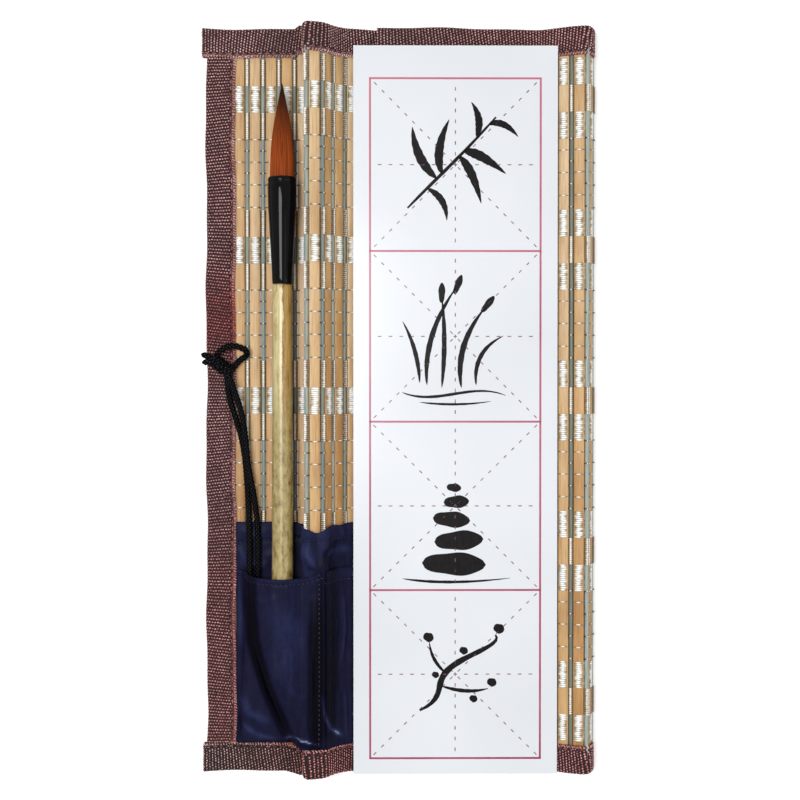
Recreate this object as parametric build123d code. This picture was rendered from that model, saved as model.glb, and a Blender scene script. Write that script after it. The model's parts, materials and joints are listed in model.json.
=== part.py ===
from build123d import *
from itertools import pairwise
from math import asin, atan2, cos, degrees, hypot, pi, radians, sin, sqrt, tan
import os

# A calligrapher's brush mat, lying open at its left third and folded back over itself at its right.
# Flat bamboo slats alternate with thin round sticks, and threads hold them side by side.
# A woven tape is folded over every edge. Satin pockets are sewn on the left third, with a brush in one.
# A tie cord is knotted to the left edge, and a card of practice squares lies on the folded part.
# X runs across the slats, Y along them and Z up. The mat lies on its back on the table, at Z 0.
# Everything is in millimetres. The origin is under the middle of the folded mat.

# The weave: one slat and one stick make a step of the mat
slat_width = 4.4
slat_thickness = 1.5
slat_crown = 0.3
stick_diameter = 1.7
weave_gap = 0.19
still_stick_sides = 12
thread_thickness = 0.5

# The mat and the tape round it
mat_length = 304.4
tape_width = 11.8
tape_thickness = 0.85
tape_clearance = 0.1
end_clearance = 0.4
corner_bulge = 1.5
tape_joint_gap = 0.2
left_stick_x = -75.6
left_tape_overhang = 3.7

# How the mat lies: headings of its steps, in degrees, from left to right
flat_steps = 5
ridge_headings = (6, 100, 92, -8, -53, -41)
foot_steps = 2
base_steps = 13
fold_headings = (43, 116)
slope_steps = 3
cover_steps = 10
layer_clearance = 0.3
hinge_clearance = 0.15
flap_opening = 45

# The satin lining and the pockets on it
satin_thickness = 0.5
satin_clearance = 0.25
lining_height = 91.0
pocket_height = 67.0
pocket_dip = 2.5
pocket_left_x = -66.6
pocket_seam_margin = 1.5
pocket_low_rise = 4.6
pocket_butt_room = 2.0
ridge_dip = 4.5
lining_lift_x = -43.6
cut_reach = 1.0

# How the brush pocket bulges at four places along it, from its mouth to its seam at the bottom.
# Each corner has its place across the mat from the brush's line, and its share of the full height
mouth_bulge = [(-16.3, 0), (-14.5, 0.36), (-10.5, 0.66), (-3.6, 1), (2.4, 1.07)]
butt_bulge = [(-16.3, 0), (-13.0, 0.22), (-8.9, 0.55), (-3.6, 1), (2.4, 1.04)]
low_bulge = [(-17.9, 0), (-10.5, 0.03), (-5.6, 0.08), (-1.8, 0.2), (3.6, 0.45)]
floor_bulge = [(-17.9, 0), (-10.5, 0), (-5.6, 0), (-1.8, 0.1), (4.0, 0.2)]

# The brush
brush_x = -48.1
brush_seat_clearance = 0.2
handle_end_y = -110.0
handle_radius_butt = 4.45
handle_edge = 0.7
handle_radius_neck = 4.0
ferrule_start_y = 47.6
ferrule_length = 43.2
ferrule_radius_lip = 5.9
ferrule_radius_neck = 4.1
ferrule_edge = 0.3
ferrule_roll = 0.7
spigot_radius = 3.1
spigot_length = 11.0
spigot_clearance = 0.08
spigot_end_clearance = 0.3
tuft_length = 38.0
tuft_radius = 4.75
tuft_root = 1.0
tuft_socket = 6.0
tuft_clearance = 0.08
tuft_narrowing = 0.93
tuft_fullness = 1.8
tuft_outer_shortening = 0.22
strand_count = 320
strand_radius = 0.19
strand_sides = 3

# How the collar widens: places along it and the widening there, both as shares of the whole
ferrule_widening = [(0.4, 0.42), (0.74, 0.92), (0.87, 1)]

# The card
card_width = 83.2
card_length = 297.0
card_thickness = 0.5
card_left_x = -19.3
card_middle_y = -3.9
card_clearance = 0.3

# The tie cord
cord_diameter = 2.7
cord_sides = 8
corner_share = 0.45
samples_per_run = 6
knot_centre = (-73.5, 14.8, 7.15)
knot_heading = -39
knot_wraps = 4
knot_wrap_spacing = 2.5
knot_wrap_radius = 1.85
knot_wrap_tilt = 24

# Points of the doubled cord, from the knot into the pocket, round below the brush and back to the knot
tie_route = [
    (-69.7, 10.2, 8.6),
    (-68.4, 4.6, 8.3),
    (-66.2, -2.2, 7.9),
    (-64.4, -8.8, 7.6),
    (-63.2, -17.0, 7.4),
    (-62.3, -25.6, 7.4),
    (-60.4, -35.5, 6.7),
    (-58.6, -47.0, 5.3),
    (-58.2, -60.0, 5.2),
    (-58.4, -75.0, 5.1),
    (-58.2, -90.0, 5.1),
    (-58.0, -101.0, 5.1),
    (-56.2, -109.6, 5.1),
    (-50.7, -116.2, 5.1),
    (-45.4, -121.5, 5.1),
    (-45.4, -128.9, 5.1),
    (-50.7, -134.2, 5.1),
    (-58.1, -134.2, 5.1),
    (-63.4, -128.9, 5.1),
    (-63.3, -121.3, 5.1),
    (-62.6, -111.0, 5.1),
    (-62.0, -98.0, 5.1),
    (-61.9, -84.5, 5.1),
    (-61.7, -71.0, 5.1),
    (-61.8, -57.5, 5.2),
    (-62.0, -44.5, 4.8),
    (-62.7, -33.0, 4.4),
    (-63.4, -23.0, 4.5),
    (-64.6, -14.5, 4.7),
    (-66.6, -6.5, 5.4),
    (-68.4, -0.5, 5.5),
    (-69.4, 5.2, 5.4),
    (-70.7, 10.2, 5.6),
]

# Points of the small loop that ties the knot to a stick of the mat
loop_route = [
    (-75.6, 18.4, 7.5),
    (-72.6, 21.6, 7.9),
    (-68.2, 22.6, 7.9),
    (-64.8, 21.8, 7.9),
    (-62.0, 20.2, 7.2),
    (-62.0, 18.2, 4.6),
    (-64.6, 16.8, 4.5),
    (-67.2, 14.6, 5.3),
    (-69.4, 12.0, 5.6),
]

# Points of the two cut tails that stick out over the edge
tail_routes = [
    [(-75.8, 17.0, 6.0), (-78.4, 18.3, 5.6), (-81.2, 19.3, 5.4)],
    [(-76.0, 16.0, 8.0), (-78.3, 16.2, 8.5), (-80.6, 15.7, 8.4)],
]


def walk(start, headings, step):
    """Points of a chain of equal steps from a start, one heading in degrees for each."""
    points = [start]
    for heading in headings:
        x, z = points[-1]
        points.append((x + step * cos(radians(heading)), z + step * sin(radians(heading))))
    return points


def slope_to(climb, steps, step):
    """Heading, in degrees, of equal steps that together lose a height."""
    return -degrees(asin(climb / (steps * step)))


def cut_back(half_thickness, turn):
    """Room that a sheet leaves beside a hinge, so that it can turn by an angle in degrees."""
    return half_thickness * tan(radians(abs(turn)) / 2) + hinge_clearance


def between(start, end, from_start, from_end):
    """The straight stretch between two points, shortened at both ends."""
    length = hypot(end[0] - start[0], end[1] - start[1])
    along = ((end[0] - start[0]) / length, (end[1] - start[1]) / length)
    first = (start[0] + along[0] * from_start, start[1] + along[1] * from_start)
    last = (end[0] - along[0] * from_end, end[1] - along[1] * from_end)
    return first, last


def shifted(route, distance):
    """The same open route moved to its upper side, with mitred corners."""
    headings = [atan2(end[1] - start[1], end[0] - start[0]) for start, end in pairwise(route)]
    headings = [headings[0], *headings, headings[-1]]
    moved = []
    for point, before, after in zip(route, headings, headings[1:]):
        middle = (before + after) / 2
        reach = distance / cos((after - before) / 2)
        moved.append((point[0] - reach * sin(middle), point[1] + reach * cos(middle)))
    return moved


def step_plane(start, end):
    """A plane across the slats, in the middle of one step, with its X along the step."""
    middle = ((start[0] + end[0]) / 2, 0, (start[1] + end[1]) / 2)
    return Plane(middle, x_dir=(end[0] - start[0], 0, end[1] - start[1]), z_dir=(0, -1, 0))


def band(route, half_thickness):
    """Cross-section of a sheet along a route, square at both ends and round at the corners."""
    section = Sketch()
    for start, end in pairwise(route):
        length = hypot(end[0] - start[0], end[1] - start[1])
        turn = degrees(atan2(end[1] - start[1], end[0] - start[0]))
        middle = Pos((start[0] + end[0]) / 2, (start[1] + end[1]) / 2)
        section += middle * Rot(0, 0, turn) * Rectangle(length, 2 * half_thickness)
    for corner in route[1:-1]:
        section += Pos(*corner) * Circle(half_thickness)
    return Plane.XZ * section


def along_y(section, low, high):
    """Solid of a cross-section between two places along the slats."""
    return extrude(Pos(0, high, 0) * section, amount=high - low)


def slat(start, end):
    """One bamboo slat between two sticks: flat back, arched face."""
    half_width = slat_width / 2
    half_thickness = slat_thickness / 2
    shoulder = half_thickness - slat_crown
    outline = Polyline(
        (-half_width, shoulder), (-half_width, -half_thickness), (half_width, -half_thickness),
        (half_width, shoulder))
    face = ThreePointArc((half_width, shoulder), (0, half_thickness), (-half_width, shoulder))
    section = make_face([*outline.edges(), face])
    return extrude(step_plane(start, end) * section, amount=slat_length / 2, both=True)


def stick(centre):
    """One thin round stick that a step of the mat turns on."""
    return Pos(centre[0], 0, centre[1]) * Rot(90, 0, 0) * Cylinder(stick_diameter / 2, slat_length)


def still_stick(centre):
    """One thin stick between two slats that keep their places, with flats too small to see."""
    section = Plane.XZ * Pos(*centre) * RegularPolygon(stick_diameter / 2, still_stick_sides)
    return extrude(section, amount=slat_length / 2, both=True)


def folded_tape(route, slot_route, side):
    """Woven tape folded over the ends of the slats: side is 1 at the top edge and -1 at the bottom."""
    outer_y = mat_length / 2
    inner_y = outer_y - tape_width
    slot_y = outer_y - tape_thickness
    tape = along_y(band(route, tape_half), inner_y, outer_y)
    tape -= along_y(band(slot_route, slot_half), inner_y - tape_width, slot_y)
    if side < 0:
        tape = mirror(tape, about=Plane.XZ)
    return tape


def end_tape(edge_x, level):
    """Woven tape folded over the left edge of the mat, or of the cover at a higher level."""
    outer_start = (edge_x + tape_half, level)
    slot_start = (edge_x + tape_half, level)
    inner_x = edge_x + tape_width
    outer = band([outer_start, (inner_x, level)], tape_half)
    outer += Plane.XZ * Pos(*outer_start) * Circle(tape_half)
    slot = band([slot_start, (inner_x + tape_width, level)], slot_half)
    slot += Plane.XZ * Pos(*slot_start) * Circle(slot_half)
    reach = mat_length / 2 - tape_width - tape_joint_gap
    return along_y(outer - slot, -reach, reach)


def corner_radii(route):
    """Largest arc that each corner of a cord's route has room for."""
    points = [Vector(*point) for point in route]
    radii = []
    for before, corner, after in zip(points, points[1:], points[2:]):
        incoming = corner - before
        outgoing = after - corner
        half_turn = radians(incoming.get_angle(outgoing)) / 2
        radii.append(corner_share * min(incoming.length, outgoing.length) / tan(half_turn))
    return radii


def cord(name, route):
    """Cord of straight runs and tangent arcs. Prints its arcs, its length and its volume."""
    radii = corner_radii(route)
    path = FilletPolyline(*route, radius=radii)
    section = Plane(path @ 0, z_dir=path % 0) * RegularPolygon(cord_diameter / 2, cord_sides)
    tube = sweep(section, path=path)
    expected = section.area * path.length
    print(name, "length", round(path.length, 1), "smallest arc", round(min(radii), 2))
    print(name, "volume", round(tube.volume, 1), "section times length", round(expected, 1))
    return tube


def least_gap(route, skip):
    """Smallest free distance between stretches of one cord that are some points apart."""
    samples = []
    for start, end in pairwise(route):
        run = Vector(*end) - Vector(*start)
        samples += [Vector(*start) + run * (number / samples_per_run) for number in range(samples_per_run)]
    reach = skip * samples_per_run
    gaps = [
        (samples[first] - samples[second]).length
        for first in range(len(samples)) for second in range(first + reach, len(samples))]
    return min(gaps) - cord_diameter


def write(name, *solids):
    """One file for each named piece, its separate solids side by side."""
    flat = [solid for shape in solids for solid in shape.solids()]
    shape = flat[0] if len(flat) == 1 else Compound(children=flat)
    shape.label = name
    export_step(shape, os.path.join("parts", name + ".step"))
    print(name, len(flat), "solids")


os.makedirs("parts", exist_ok=True)

# Sizes that follow from the ones above
step = slat_width + stick_diameter + 2 * weave_gap
mat_half = max(slat_thickness, stick_diameter) / 2
slot_half = mat_half + tape_clearance
tape_half = slot_half + tape_thickness
slat_length = mat_length - 2 * (tape_thickness + end_clearance)
slat_tops = tape_half + slat_thickness / 2
tape_tops = 2 * tape_half
left_edge_x = left_stick_x - left_tape_overhang

# Middle line of the mat, from its left edge to the end of the folded cover
flat_line = walk((left_stick_x, tape_half), [0] * flat_steps, step)
ridge_line = walk(flat_line[-1], ridge_headings, step)
hinge_point = ridge_line[-1]
foot_heading = slope_to(hinge_point[1] - tape_half, foot_steps, step)
foot_line = walk(hinge_point, [foot_heading] * foot_steps, step)
base_line = walk(foot_line[-1], [0] * base_steps, step)
fold_point = base_line[-1]
turned_line = walk(fold_point, fold_headings, step)
cover_level = tape_half + tape_tops + layer_clearance
cover_heading = 180 - slope_to(turned_line[-1][1] - cover_level, slope_steps, step)
slope_line = walk(turned_line[-1], [cover_heading] * slope_steps, step)
cover_line = walk(slope_line[-1], [180] * cover_steps, step)
flap_line = flat_line + ridge_line[1:]
fold_hinges = [*turned_line, slope_line[-1]]
print("step", round(step, 3), "cover level", round(cover_level, 3))
print("flap turns about X and Z", [round(place, 3) for place in hinge_point])
print("fold turns about X and Z", [(round(x, 3), round(z, 3)) for x, z in fold_hinges])

# Headings of the steps on both sides of each moving stick, and how far each one turns
flap_turn = foot_heading - ridge_headings[-1]
flap_cut = flap_turn + flap_opening
fold_turns = [after - before for before, after in pairwise([0, *fold_headings, cover_heading, 180])]
leading_turn = max(fold_turns)
print("turns of the fold", [round(turn, 2) for turn in fold_turns])
print("ratios", [round(turn / leading_turn, 5) for turn in fold_turns])

# Left third of the mat, with the ridge that stands up beside the card
write("flap_slats", *[slat(start, end) for start, end in pairwise(flat_line)])
write("ridge_slats", *[slat(start, end) for start, end in pairwise(ridge_line)])
write("flap_sticks", *[still_stick(point) for point in flat_line])
write("ridge_sticks", *[still_stick(point) for point in ridge_line[1:-1]])

flap_end = between(flap_line[-2], flap_line[-1], 0, cut_back(tape_half, flap_cut))[1]
flap_corners = [flat_line[-1], *ridge_line[1:-1]]
tape_start = (left_edge_x - corner_bulge, tape_half)
flap_route = [tape_start, *flap_corners, flap_end]
flap_slot = [(left_edge_x + tape_thickness, tape_half), *flap_corners, flap_line[-1]]
for name, side in (("flap_top_tape", 1), ("flap_bottom_tape", -1)):
    tape = folded_tape(flap_route, flap_slot, side)
    corners = [
        edge for edge in tape.edges().filter_by(Axis.Z)
        if abs(edge.center().X - tape_start[0]) < corner_bulge]
    write(name, fillet(corners, corner_bulge))
write("left_end_tape", end_tape(left_edge_x, tape_half))

# Middle of the mat, flat on the table under the cover
base_points = foot_line + base_line[1:]
write("base_slats", *[slat(start, end) for start, end in pairwise(base_points)])
turning_sticks = [stick(base_points[0]), stick(base_points[-1])]
write("base_sticks", *turning_sticks, *[still_stick(point) for point in base_points[1:-1]])
base_start = between(base_points[0], base_points[1], cut_back(tape_half, flap_cut), 0)[0]
base_end = (fold_point[0] - cut_back(tape_half, fold_turns[0]), tape_half)
base_slot = [base_points[0], foot_line[-1], fold_point]
for name, side in (("base_top_tape", 1), ("base_bottom_tape", -1)):
    write(name, folded_tape([base_start, foot_line[-1], base_end], base_slot, side))

# The right edge, where the mat turns over: each stretch turns on the stick at its start
fold_rooms = [cut_back(tape_half, turn) for turn in fold_turns]
fold_stretches = [*[list(ends) for ends in pairwise(turned_line)], slope_line]
for number, (line, rooms) in enumerate(zip(fold_stretches, pairwise(fold_rooms)), 1):
    still_sticks = [still_stick(point) for point in line[1:-1]]
    write(f"fold_slats_{number}", *[slat(start, end) for start, end in pairwise(line)])
    write(f"fold_sticks_{number}", stick(line[-1]), *still_sticks)
    route = between(line[0], line[-1], *rooms)
    write(f"fold_tapes_{number}", *[folded_tape(route, [line[0], line[-1]], side) for side in (1, -1)])

# The folded cover, lying on the middle of the mat
cover_start = (cover_line[0][0] - fold_rooms[-1], cover_level)
cover_edge_x = cover_line[-1][0] - tape_half
cover_end = (cover_edge_x, cover_level)
write("cover_slats", *[slat(start, end) for start, end in pairwise(cover_line)])
write("cover_sticks", *[still_stick(point) for point in cover_line[1:]])
cover_slot = [cover_line[0], (cover_edge_x + tape_thickness, cover_level)]
for name, side in (("cover_top_tape", 1), ("cover_bottom_tape", -1)):
    write(name, folded_tape([cover_start, cover_end], cover_slot, side))
write("cover_end_tape", end_tape(cover_edge_x, cover_level))

# Satin lining, sewn under the tapes. It bridges the hollow before the ridge and lies over its crest
pocket_floor_y = -mat_length / 2 + tape_width + satin_clearance
lining_offset = mat_half + satin_clearance + satin_thickness / 2
pocket_offset = lining_offset + satin_thickness + satin_clearance
lining_start_x = left_edge_x + tape_width + satin_clearance
lining_level = tape_half + lining_offset
crest_line = ridge_line[2:]
lining_crest = shifted(crest_line, lining_offset)[1:]
lining_cut = cut_back(pocket_offset + satin_thickness / 2, flap_cut)
lining_end = between(lining_crest[-2], lining_crest[-1], 0, lining_cut)[1]
lining_route = [
    (lining_start_x, lining_level), (lining_lift_x, lining_level), *lining_crest[:-1], lining_end]
lining_top_y = pocket_floor_y + lining_height
dip = Polyline(
    (lining_lift_x, lining_top_y + cut_reach), (lining_crest[0][0], lining_top_y - ridge_dip),
    (lining_crest[1][0], lining_top_y - ridge_dip), (lining_crest[2][0], lining_top_y + cut_reach),
    close=True)
lining = along_y(band(lining_route, satin_thickness / 2), pocket_floor_y, lining_top_y)
lining -= extrude(make_face(dip), amount=tape_half + len(ridge_headings) * step)
write("lining", lining)

foot_lining = shifted(foot_line, lining_offset)
foot_start = between(foot_lining[0], foot_lining[-1], lining_cut, 0)[0]
foot_route = [foot_start, foot_lining[-1]]
write("base_lining", along_y(band(foot_route, satin_thickness / 2), pocket_floor_y, lining_top_y))

# Second pocket: a flat sheet on the lining, from the seam on the crest to under the card
mouth_y = pocket_floor_y + pocket_height
pocket_crest = shifted(crest_line, pocket_offset)[1:]
seam_point = between(pocket_crest[0], pocket_crest[1], 0, pocket_seam_margin)[1]
side_start = between(pocket_crest[0], pocket_crest[1], 0, pocket_seam_margin - satin_clearance)[1]
side_end = between(pocket_crest[-2], pocket_crest[-1], 0, lining_cut)[1]
side_route = [side_start, *pocket_crest[1:-1], side_end]
write("side_pocket", along_y(band(side_route, satin_thickness / 2), pocket_floor_y, mouth_y))
foot_pocket = shifted(foot_line, pocket_offset)
foot_pocket_start = between(foot_pocket[0], foot_pocket[-1], lining_cut, 0)[0]
foot_pocket_route = [foot_pocket_start, foot_pocket[-1]]
write("base_pocket", along_y(band(foot_pocket_route, satin_thickness / 2), pocket_floor_y, mouth_y))

# Where the brush lies: its collar rests on the threads over the slats
brush_z = slat_tops + thread_thickness + ferrule_radius_lip + brush_seat_clearance

# Brush pocket: one sheet that climbs over the cord and the brush and is sewn down on the crest.
# Its sections have the same corners, and the bulge sinks and narrows towards the bottom seam
sheet_level = tape_half + pocket_offset
cord_level = tie_route[10][2]
sheet_room = satin_clearance + satin_thickness / 2
over_cord = cord_level + cord_diameter / 2 + sheet_room
over_brush = brush_z + handle_radius_butt + sheet_room
low_y = pocket_floor_y + pocket_low_rise
butt_y = handle_end_y - pocket_butt_room


def sheet_section(route, y):
    """Closed outline of a thin sheet round an open route, in a plane across the slats."""
    upper = shifted(route, satin_thickness / 2)
    lower = shifted(route, -satin_thickness / 2)
    outline = Polyline(*upper, *reversed(lower), close=True)
    return Pos(0, y, 0) * (Plane.XZ * make_face(outline))


def bulge_section(bulge, low, high, y):
    """The brush pocket's section at one place, whose bulge climbs from a low to a high level."""
    climb = [(brush_x + reach, low + share * (high - low)) for reach, share in bulge]
    return sheet_section([(pocket_left_x, sheet_level), *climb, pocket_crest[0], seam_point], y)


brush_pocket = loft([
    bulge_section(mouth_bulge, over_cord, over_brush, mouth_y),
    bulge_section(butt_bulge, over_cord, over_brush, butt_y),
    bulge_section(low_bulge, over_cord, over_brush, low_y),
    bulge_section(floor_bulge, sheet_level, over_cord, pocket_floor_y)], ruled=True)
hollow_left = (pocket_left_x - cut_reach, mouth_y)
hollow_right = (seam_point[0] + cut_reach, mouth_y)
hollow_edge = ThreePointArc(hollow_left, (brush_x, mouth_y - pocket_dip), hollow_right)
hollow_lid = Polyline(
    hollow_right, (hollow_right[0], mouth_y + cut_reach), (hollow_left[0], mouth_y + cut_reach), hollow_left)
brush_pocket -= extrude(make_face([hollow_edge, *hollow_lid.edges()]), amount=over_brush + step)
write("brush_pocket", brush_pocket)

# Brush: each piece is turned about the brush's own line and then laid along the slats
brush_place = Pos(brush_x, 0, brush_z)


def turned(outline):
    """Solid of revolution about the brush's line, from an outline in radius and place along it."""
    section = make_face(outline)
    return brush_place * revolve(section, axis=Axis.Y)


neck_y = ferrule_start_y
socket_y = neck_y + spigot_length + spigot_end_clearance
lip_y = neck_y + ferrule_length
tuft_seat_y = lip_y - tuft_socket
handle_outline = Polyline(
    (0, handle_end_y), (handle_radius_butt - handle_edge, handle_end_y),
    (handle_radius_butt, handle_end_y + handle_edge), (handle_radius_neck, neck_y - spigot_clearance),
    (spigot_radius, neck_y - spigot_clearance), (spigot_radius, neck_y + spigot_length),
    (0, neck_y + spigot_length), close=True)
write("brush_handle", turned(handle_outline))

socket_radius = spigot_radius + spigot_clearance
seat_radius = tuft_radius + tuft_clearance
neck_corner = (ferrule_radius_neck, neck_y + ferrule_edge)
widening = ferrule_radius_lip - ferrule_radius_neck
flank = [
    (ferrule_radius_neck + share * widening, neck_y + ferrule_length * place)
    for place, share in ferrule_widening]
lip_corner = (ferrule_radius_lip - ferrule_roll, lip_y)
ferrule_outline = [
    *Polyline(
        (socket_radius, socket_y), (socket_radius, neck_y), (ferrule_radius_neck - ferrule_edge, neck_y),
        neck_corner, flank[0]).edges(),
    ThreePointArc(*flank),
    TangentArc(flank[-1], lip_corner, tangent=(0, 1)),
    *Polyline(
        lip_corner, (seat_radius, lip_y), (seat_radius, tuft_seat_y), (0, tuft_seat_y), (0, socket_y),
        (socket_radius, socket_y)).edges()]
write("brush_ferrule", turned(ferrule_outline))


def tuft_share(part):
    """Width of the wet tuft at a part of its length, as a share of its width at the root."""
    return 1 - tuft_narrowing * part ** tuft_fullness


def strand(number):
    """Corners of three slices of one tapering hair. All draw in alike, so none crosses another."""
    share = sqrt((number + 0.5) / strand_count)
    turn = number * pi * (3 - sqrt(5))
    reach = 1 - tuft_outer_shortening * share ** 2
    spread = (tuft_radius - 2 * strand_radius) * share
    root_y = tuft_seat_y + tuft_clearance + tuft_root
    slices = []
    for part in (0, 0.5, 1):
        along = part * reach
        draw = tuft_share(along)
        y = root_y + (lip_y + tuft_length - root_y) * along
        corners = [turn + 2 * pi * corner / strand_sides for corner in range(strand_sides)]
        slices.append([
            Vector(
                draw * (spread * cos(turn) + strand_radius * cos(corner)), y,
                draw * (spread * sin(turn) + strand_radius * sin(corner)))
            for corner in corners])
    return slices


def strand_faces(slices):
    """Flat sides and tip of one hair."""
    faces = [Face(Wire.make_polygon(slices[-1]))]
    for lower, upper in pairwise(slices):
        for corner in range(strand_sides):
            after = (corner + 1) % strand_sides
            outline = [lower[corner], lower[after], upper[after], upper[corner]]
            faces.append(Face(Wire.make_polygon(outline)))
    return faces


# The tuft: all hairs grow out of one slice of their root, and the whole is a single closed skin
strands = [strand(number) for number in range(strand_count)]
root_start = tuft_seat_y + tuft_clearance
root_slice = Pos(0, root_start, 0) * Rot(-90, 0, 0) * Cylinder(
    tuft_radius, tuft_root, align=(Align.CENTER, Align.CENTER, Align.MIN))
grown_side = Face(
    Wire.make_circle(tuft_radius, Plane((0, root_start + tuft_root, 0), z_dir=(0, 1, 0))),
    [Wire.make_polygon(slices[0]) for slices in strands])
other_sides = root_slice.faces().sort_by(Axis.Y)[:-1]
hairs = [face for slices in strands for face in strand_faces(slices)]
tuft = Solid(Shell([grown_side, *other_sides, *hairs]))
write("brush_tuft", brush_place * tuft)

# Tie cord: the knot lies on the left tape, tied to a stick by the small loop
write("tie_cord", cord("tie cord", tie_route))
write("cord_loop", cord("cord loop", loop_route))
print("least gap between the cord's two strands", round(least_gap(tie_route, 3), 2))


# The knot: both strands wound round themselves, drawn tight, with the two cut tails
knot_direction = (cos(radians(knot_heading)), sin(radians(knot_heading)), 0)
knot_plane = Plane(knot_centre, z_dir=knot_direction)
knot_span = knot_wrap_spacing * (knot_wraps - 1)
core = Cylinder(knot_wrap_radius, knot_span + cord_diameter)
wrap_section = Plane.XZ * Pos(knot_wrap_radius, 0) * RegularPolygon(cord_diameter / 2, cord_sides)
wraps = [
    Pos(0, 0, knot_wrap_spacing * number - knot_span / 2) * Rot(knot_wrap_tilt, 0, 0)
    * revolve(wrap_section, axis=Axis.Z)
    for number in range(knot_wraps)]
tails = [cord("tail", route) for route in tail_routes]
write("cord_knot", (knot_plane * core.fuse(*wraps)).fuse(*tails))


# Card of practice squares, leaning on the fold's slope at its right and on the cover at its left
card_right_x = card_left_x + card_width
card_low = cover_level + tape_half + card_clearance
slope_rise = tan(radians(cover_heading - 180))
slope_run = max(0, card_right_x - slope_line[-1][0])
card_high = cover_level + slope_run * slope_rise + tape_half * hypot(1, slope_rise) + card_clearance
card_tilt = degrees(atan2(card_high - card_low, card_right_x - cover_edge_x))
card_place = Pos(cover_edge_x, card_middle_y, card_low) * Rot(0, -card_tilt, 0)
card = Pos(card_left_x - cover_edge_x, 0, 0) * Box(
    card_width, card_length, card_thickness, align=(Align.MIN, Align.CENTER, Align.MIN))
write("practice_card", card_place * card)
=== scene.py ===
# %% [markdown]
# A calligrapher's brush mat lies open at its left third and folded back at its right. It is woven from
# bamboo slats and thin sticks, bound with tape, with satin pockets, a brush, a tie cord and a card.
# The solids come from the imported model. Everything here dresses them: threads, webbing, satin, hair and ink.

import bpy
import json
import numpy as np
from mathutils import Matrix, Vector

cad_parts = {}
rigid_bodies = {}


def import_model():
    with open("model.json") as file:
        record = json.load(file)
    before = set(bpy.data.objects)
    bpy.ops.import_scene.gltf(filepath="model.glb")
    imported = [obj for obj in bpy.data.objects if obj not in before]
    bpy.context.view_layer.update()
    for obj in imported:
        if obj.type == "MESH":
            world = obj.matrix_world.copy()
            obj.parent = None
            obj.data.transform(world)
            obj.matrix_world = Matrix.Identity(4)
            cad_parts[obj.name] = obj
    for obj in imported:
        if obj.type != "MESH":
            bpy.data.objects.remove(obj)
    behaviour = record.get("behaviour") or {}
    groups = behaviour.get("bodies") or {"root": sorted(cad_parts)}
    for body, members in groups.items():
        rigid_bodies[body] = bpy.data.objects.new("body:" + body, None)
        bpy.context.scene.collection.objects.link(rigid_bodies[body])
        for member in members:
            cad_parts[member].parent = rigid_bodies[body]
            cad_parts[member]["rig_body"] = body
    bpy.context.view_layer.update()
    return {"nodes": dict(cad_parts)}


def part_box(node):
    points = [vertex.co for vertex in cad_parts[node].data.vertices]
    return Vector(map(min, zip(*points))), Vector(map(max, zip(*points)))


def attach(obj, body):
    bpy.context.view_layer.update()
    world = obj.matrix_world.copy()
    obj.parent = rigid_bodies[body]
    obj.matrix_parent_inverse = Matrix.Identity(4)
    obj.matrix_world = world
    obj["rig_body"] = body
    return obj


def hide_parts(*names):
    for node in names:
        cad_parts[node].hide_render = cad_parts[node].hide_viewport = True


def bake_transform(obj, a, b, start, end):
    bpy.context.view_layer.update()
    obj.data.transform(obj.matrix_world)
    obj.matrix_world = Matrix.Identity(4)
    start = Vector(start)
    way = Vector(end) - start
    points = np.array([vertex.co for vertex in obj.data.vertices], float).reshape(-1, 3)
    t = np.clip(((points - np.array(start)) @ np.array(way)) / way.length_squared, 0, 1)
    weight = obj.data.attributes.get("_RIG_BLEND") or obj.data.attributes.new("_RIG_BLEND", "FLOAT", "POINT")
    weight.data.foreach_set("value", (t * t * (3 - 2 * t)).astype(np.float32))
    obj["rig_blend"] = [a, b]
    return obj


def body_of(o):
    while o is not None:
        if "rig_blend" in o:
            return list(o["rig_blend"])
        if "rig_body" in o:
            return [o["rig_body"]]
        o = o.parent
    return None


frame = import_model()

# %% Tools for meshes and numbers
import json
import math

import bpy
import numpy as np
from mathutils import Vector
from mathutils.bvhtree import BVHTree

MM = 0.001
TURN = 2 * math.pi
chance = np.random.default_rng(7)

# %% [markdown]
# The photograph was taken from straight above with a small tilt. One pinhole camera gives that view. Its
# place was worked out from corners of the mat and of the card, so that pieces at other heights, such as the
# fold and the ridge, also fall where they should.

# %% Camera
LENS, SENSOR_WIDTH = 65.234, 36
CAMERA_PLACE = (-0.02385, 0.0093, 0.5989)
CAMERA_TILT = (math.radians(-0.849), math.radians(-2.282), 0)

camera_data = bpy.data.cameras.new("view_from_above")
camera_data.lens, camera_data.sensor_width = LENS, SENSOR_WIDTH
camera = bpy.data.objects.new("view_from_above", camera_data)
camera.location, camera.rotation_euler = CAMERA_PLACE, CAMERA_TILT
bpy.context.scene.collection.objects.link(camera)
bpy.context.scene.camera = camera
bpy.context.scene.view_settings.view_transform = "Standard"
print("camera height", round(camera.location.z, 3))

# %% [markdown]
# Every finish is a node material: a colour that varies, a roughness, and a fine bump. A few helpers keep
# the recipes short. Colours are written as they look on a screen and turned into the shader's linear values.

# %% Screen colours
WHITE = (255, 255, 255)


def screen(*levels):
    """Linear colour of a screen colour given in 0 to 255."""
    shares = [level / 255 for level in levels]
    return (*[share / 12.92 if share <= 0.04045 else ((share + 0.055) / 1.055) ** 2.4 for share in shares], 1)


# %% Helpers for the nodes of a material


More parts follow.
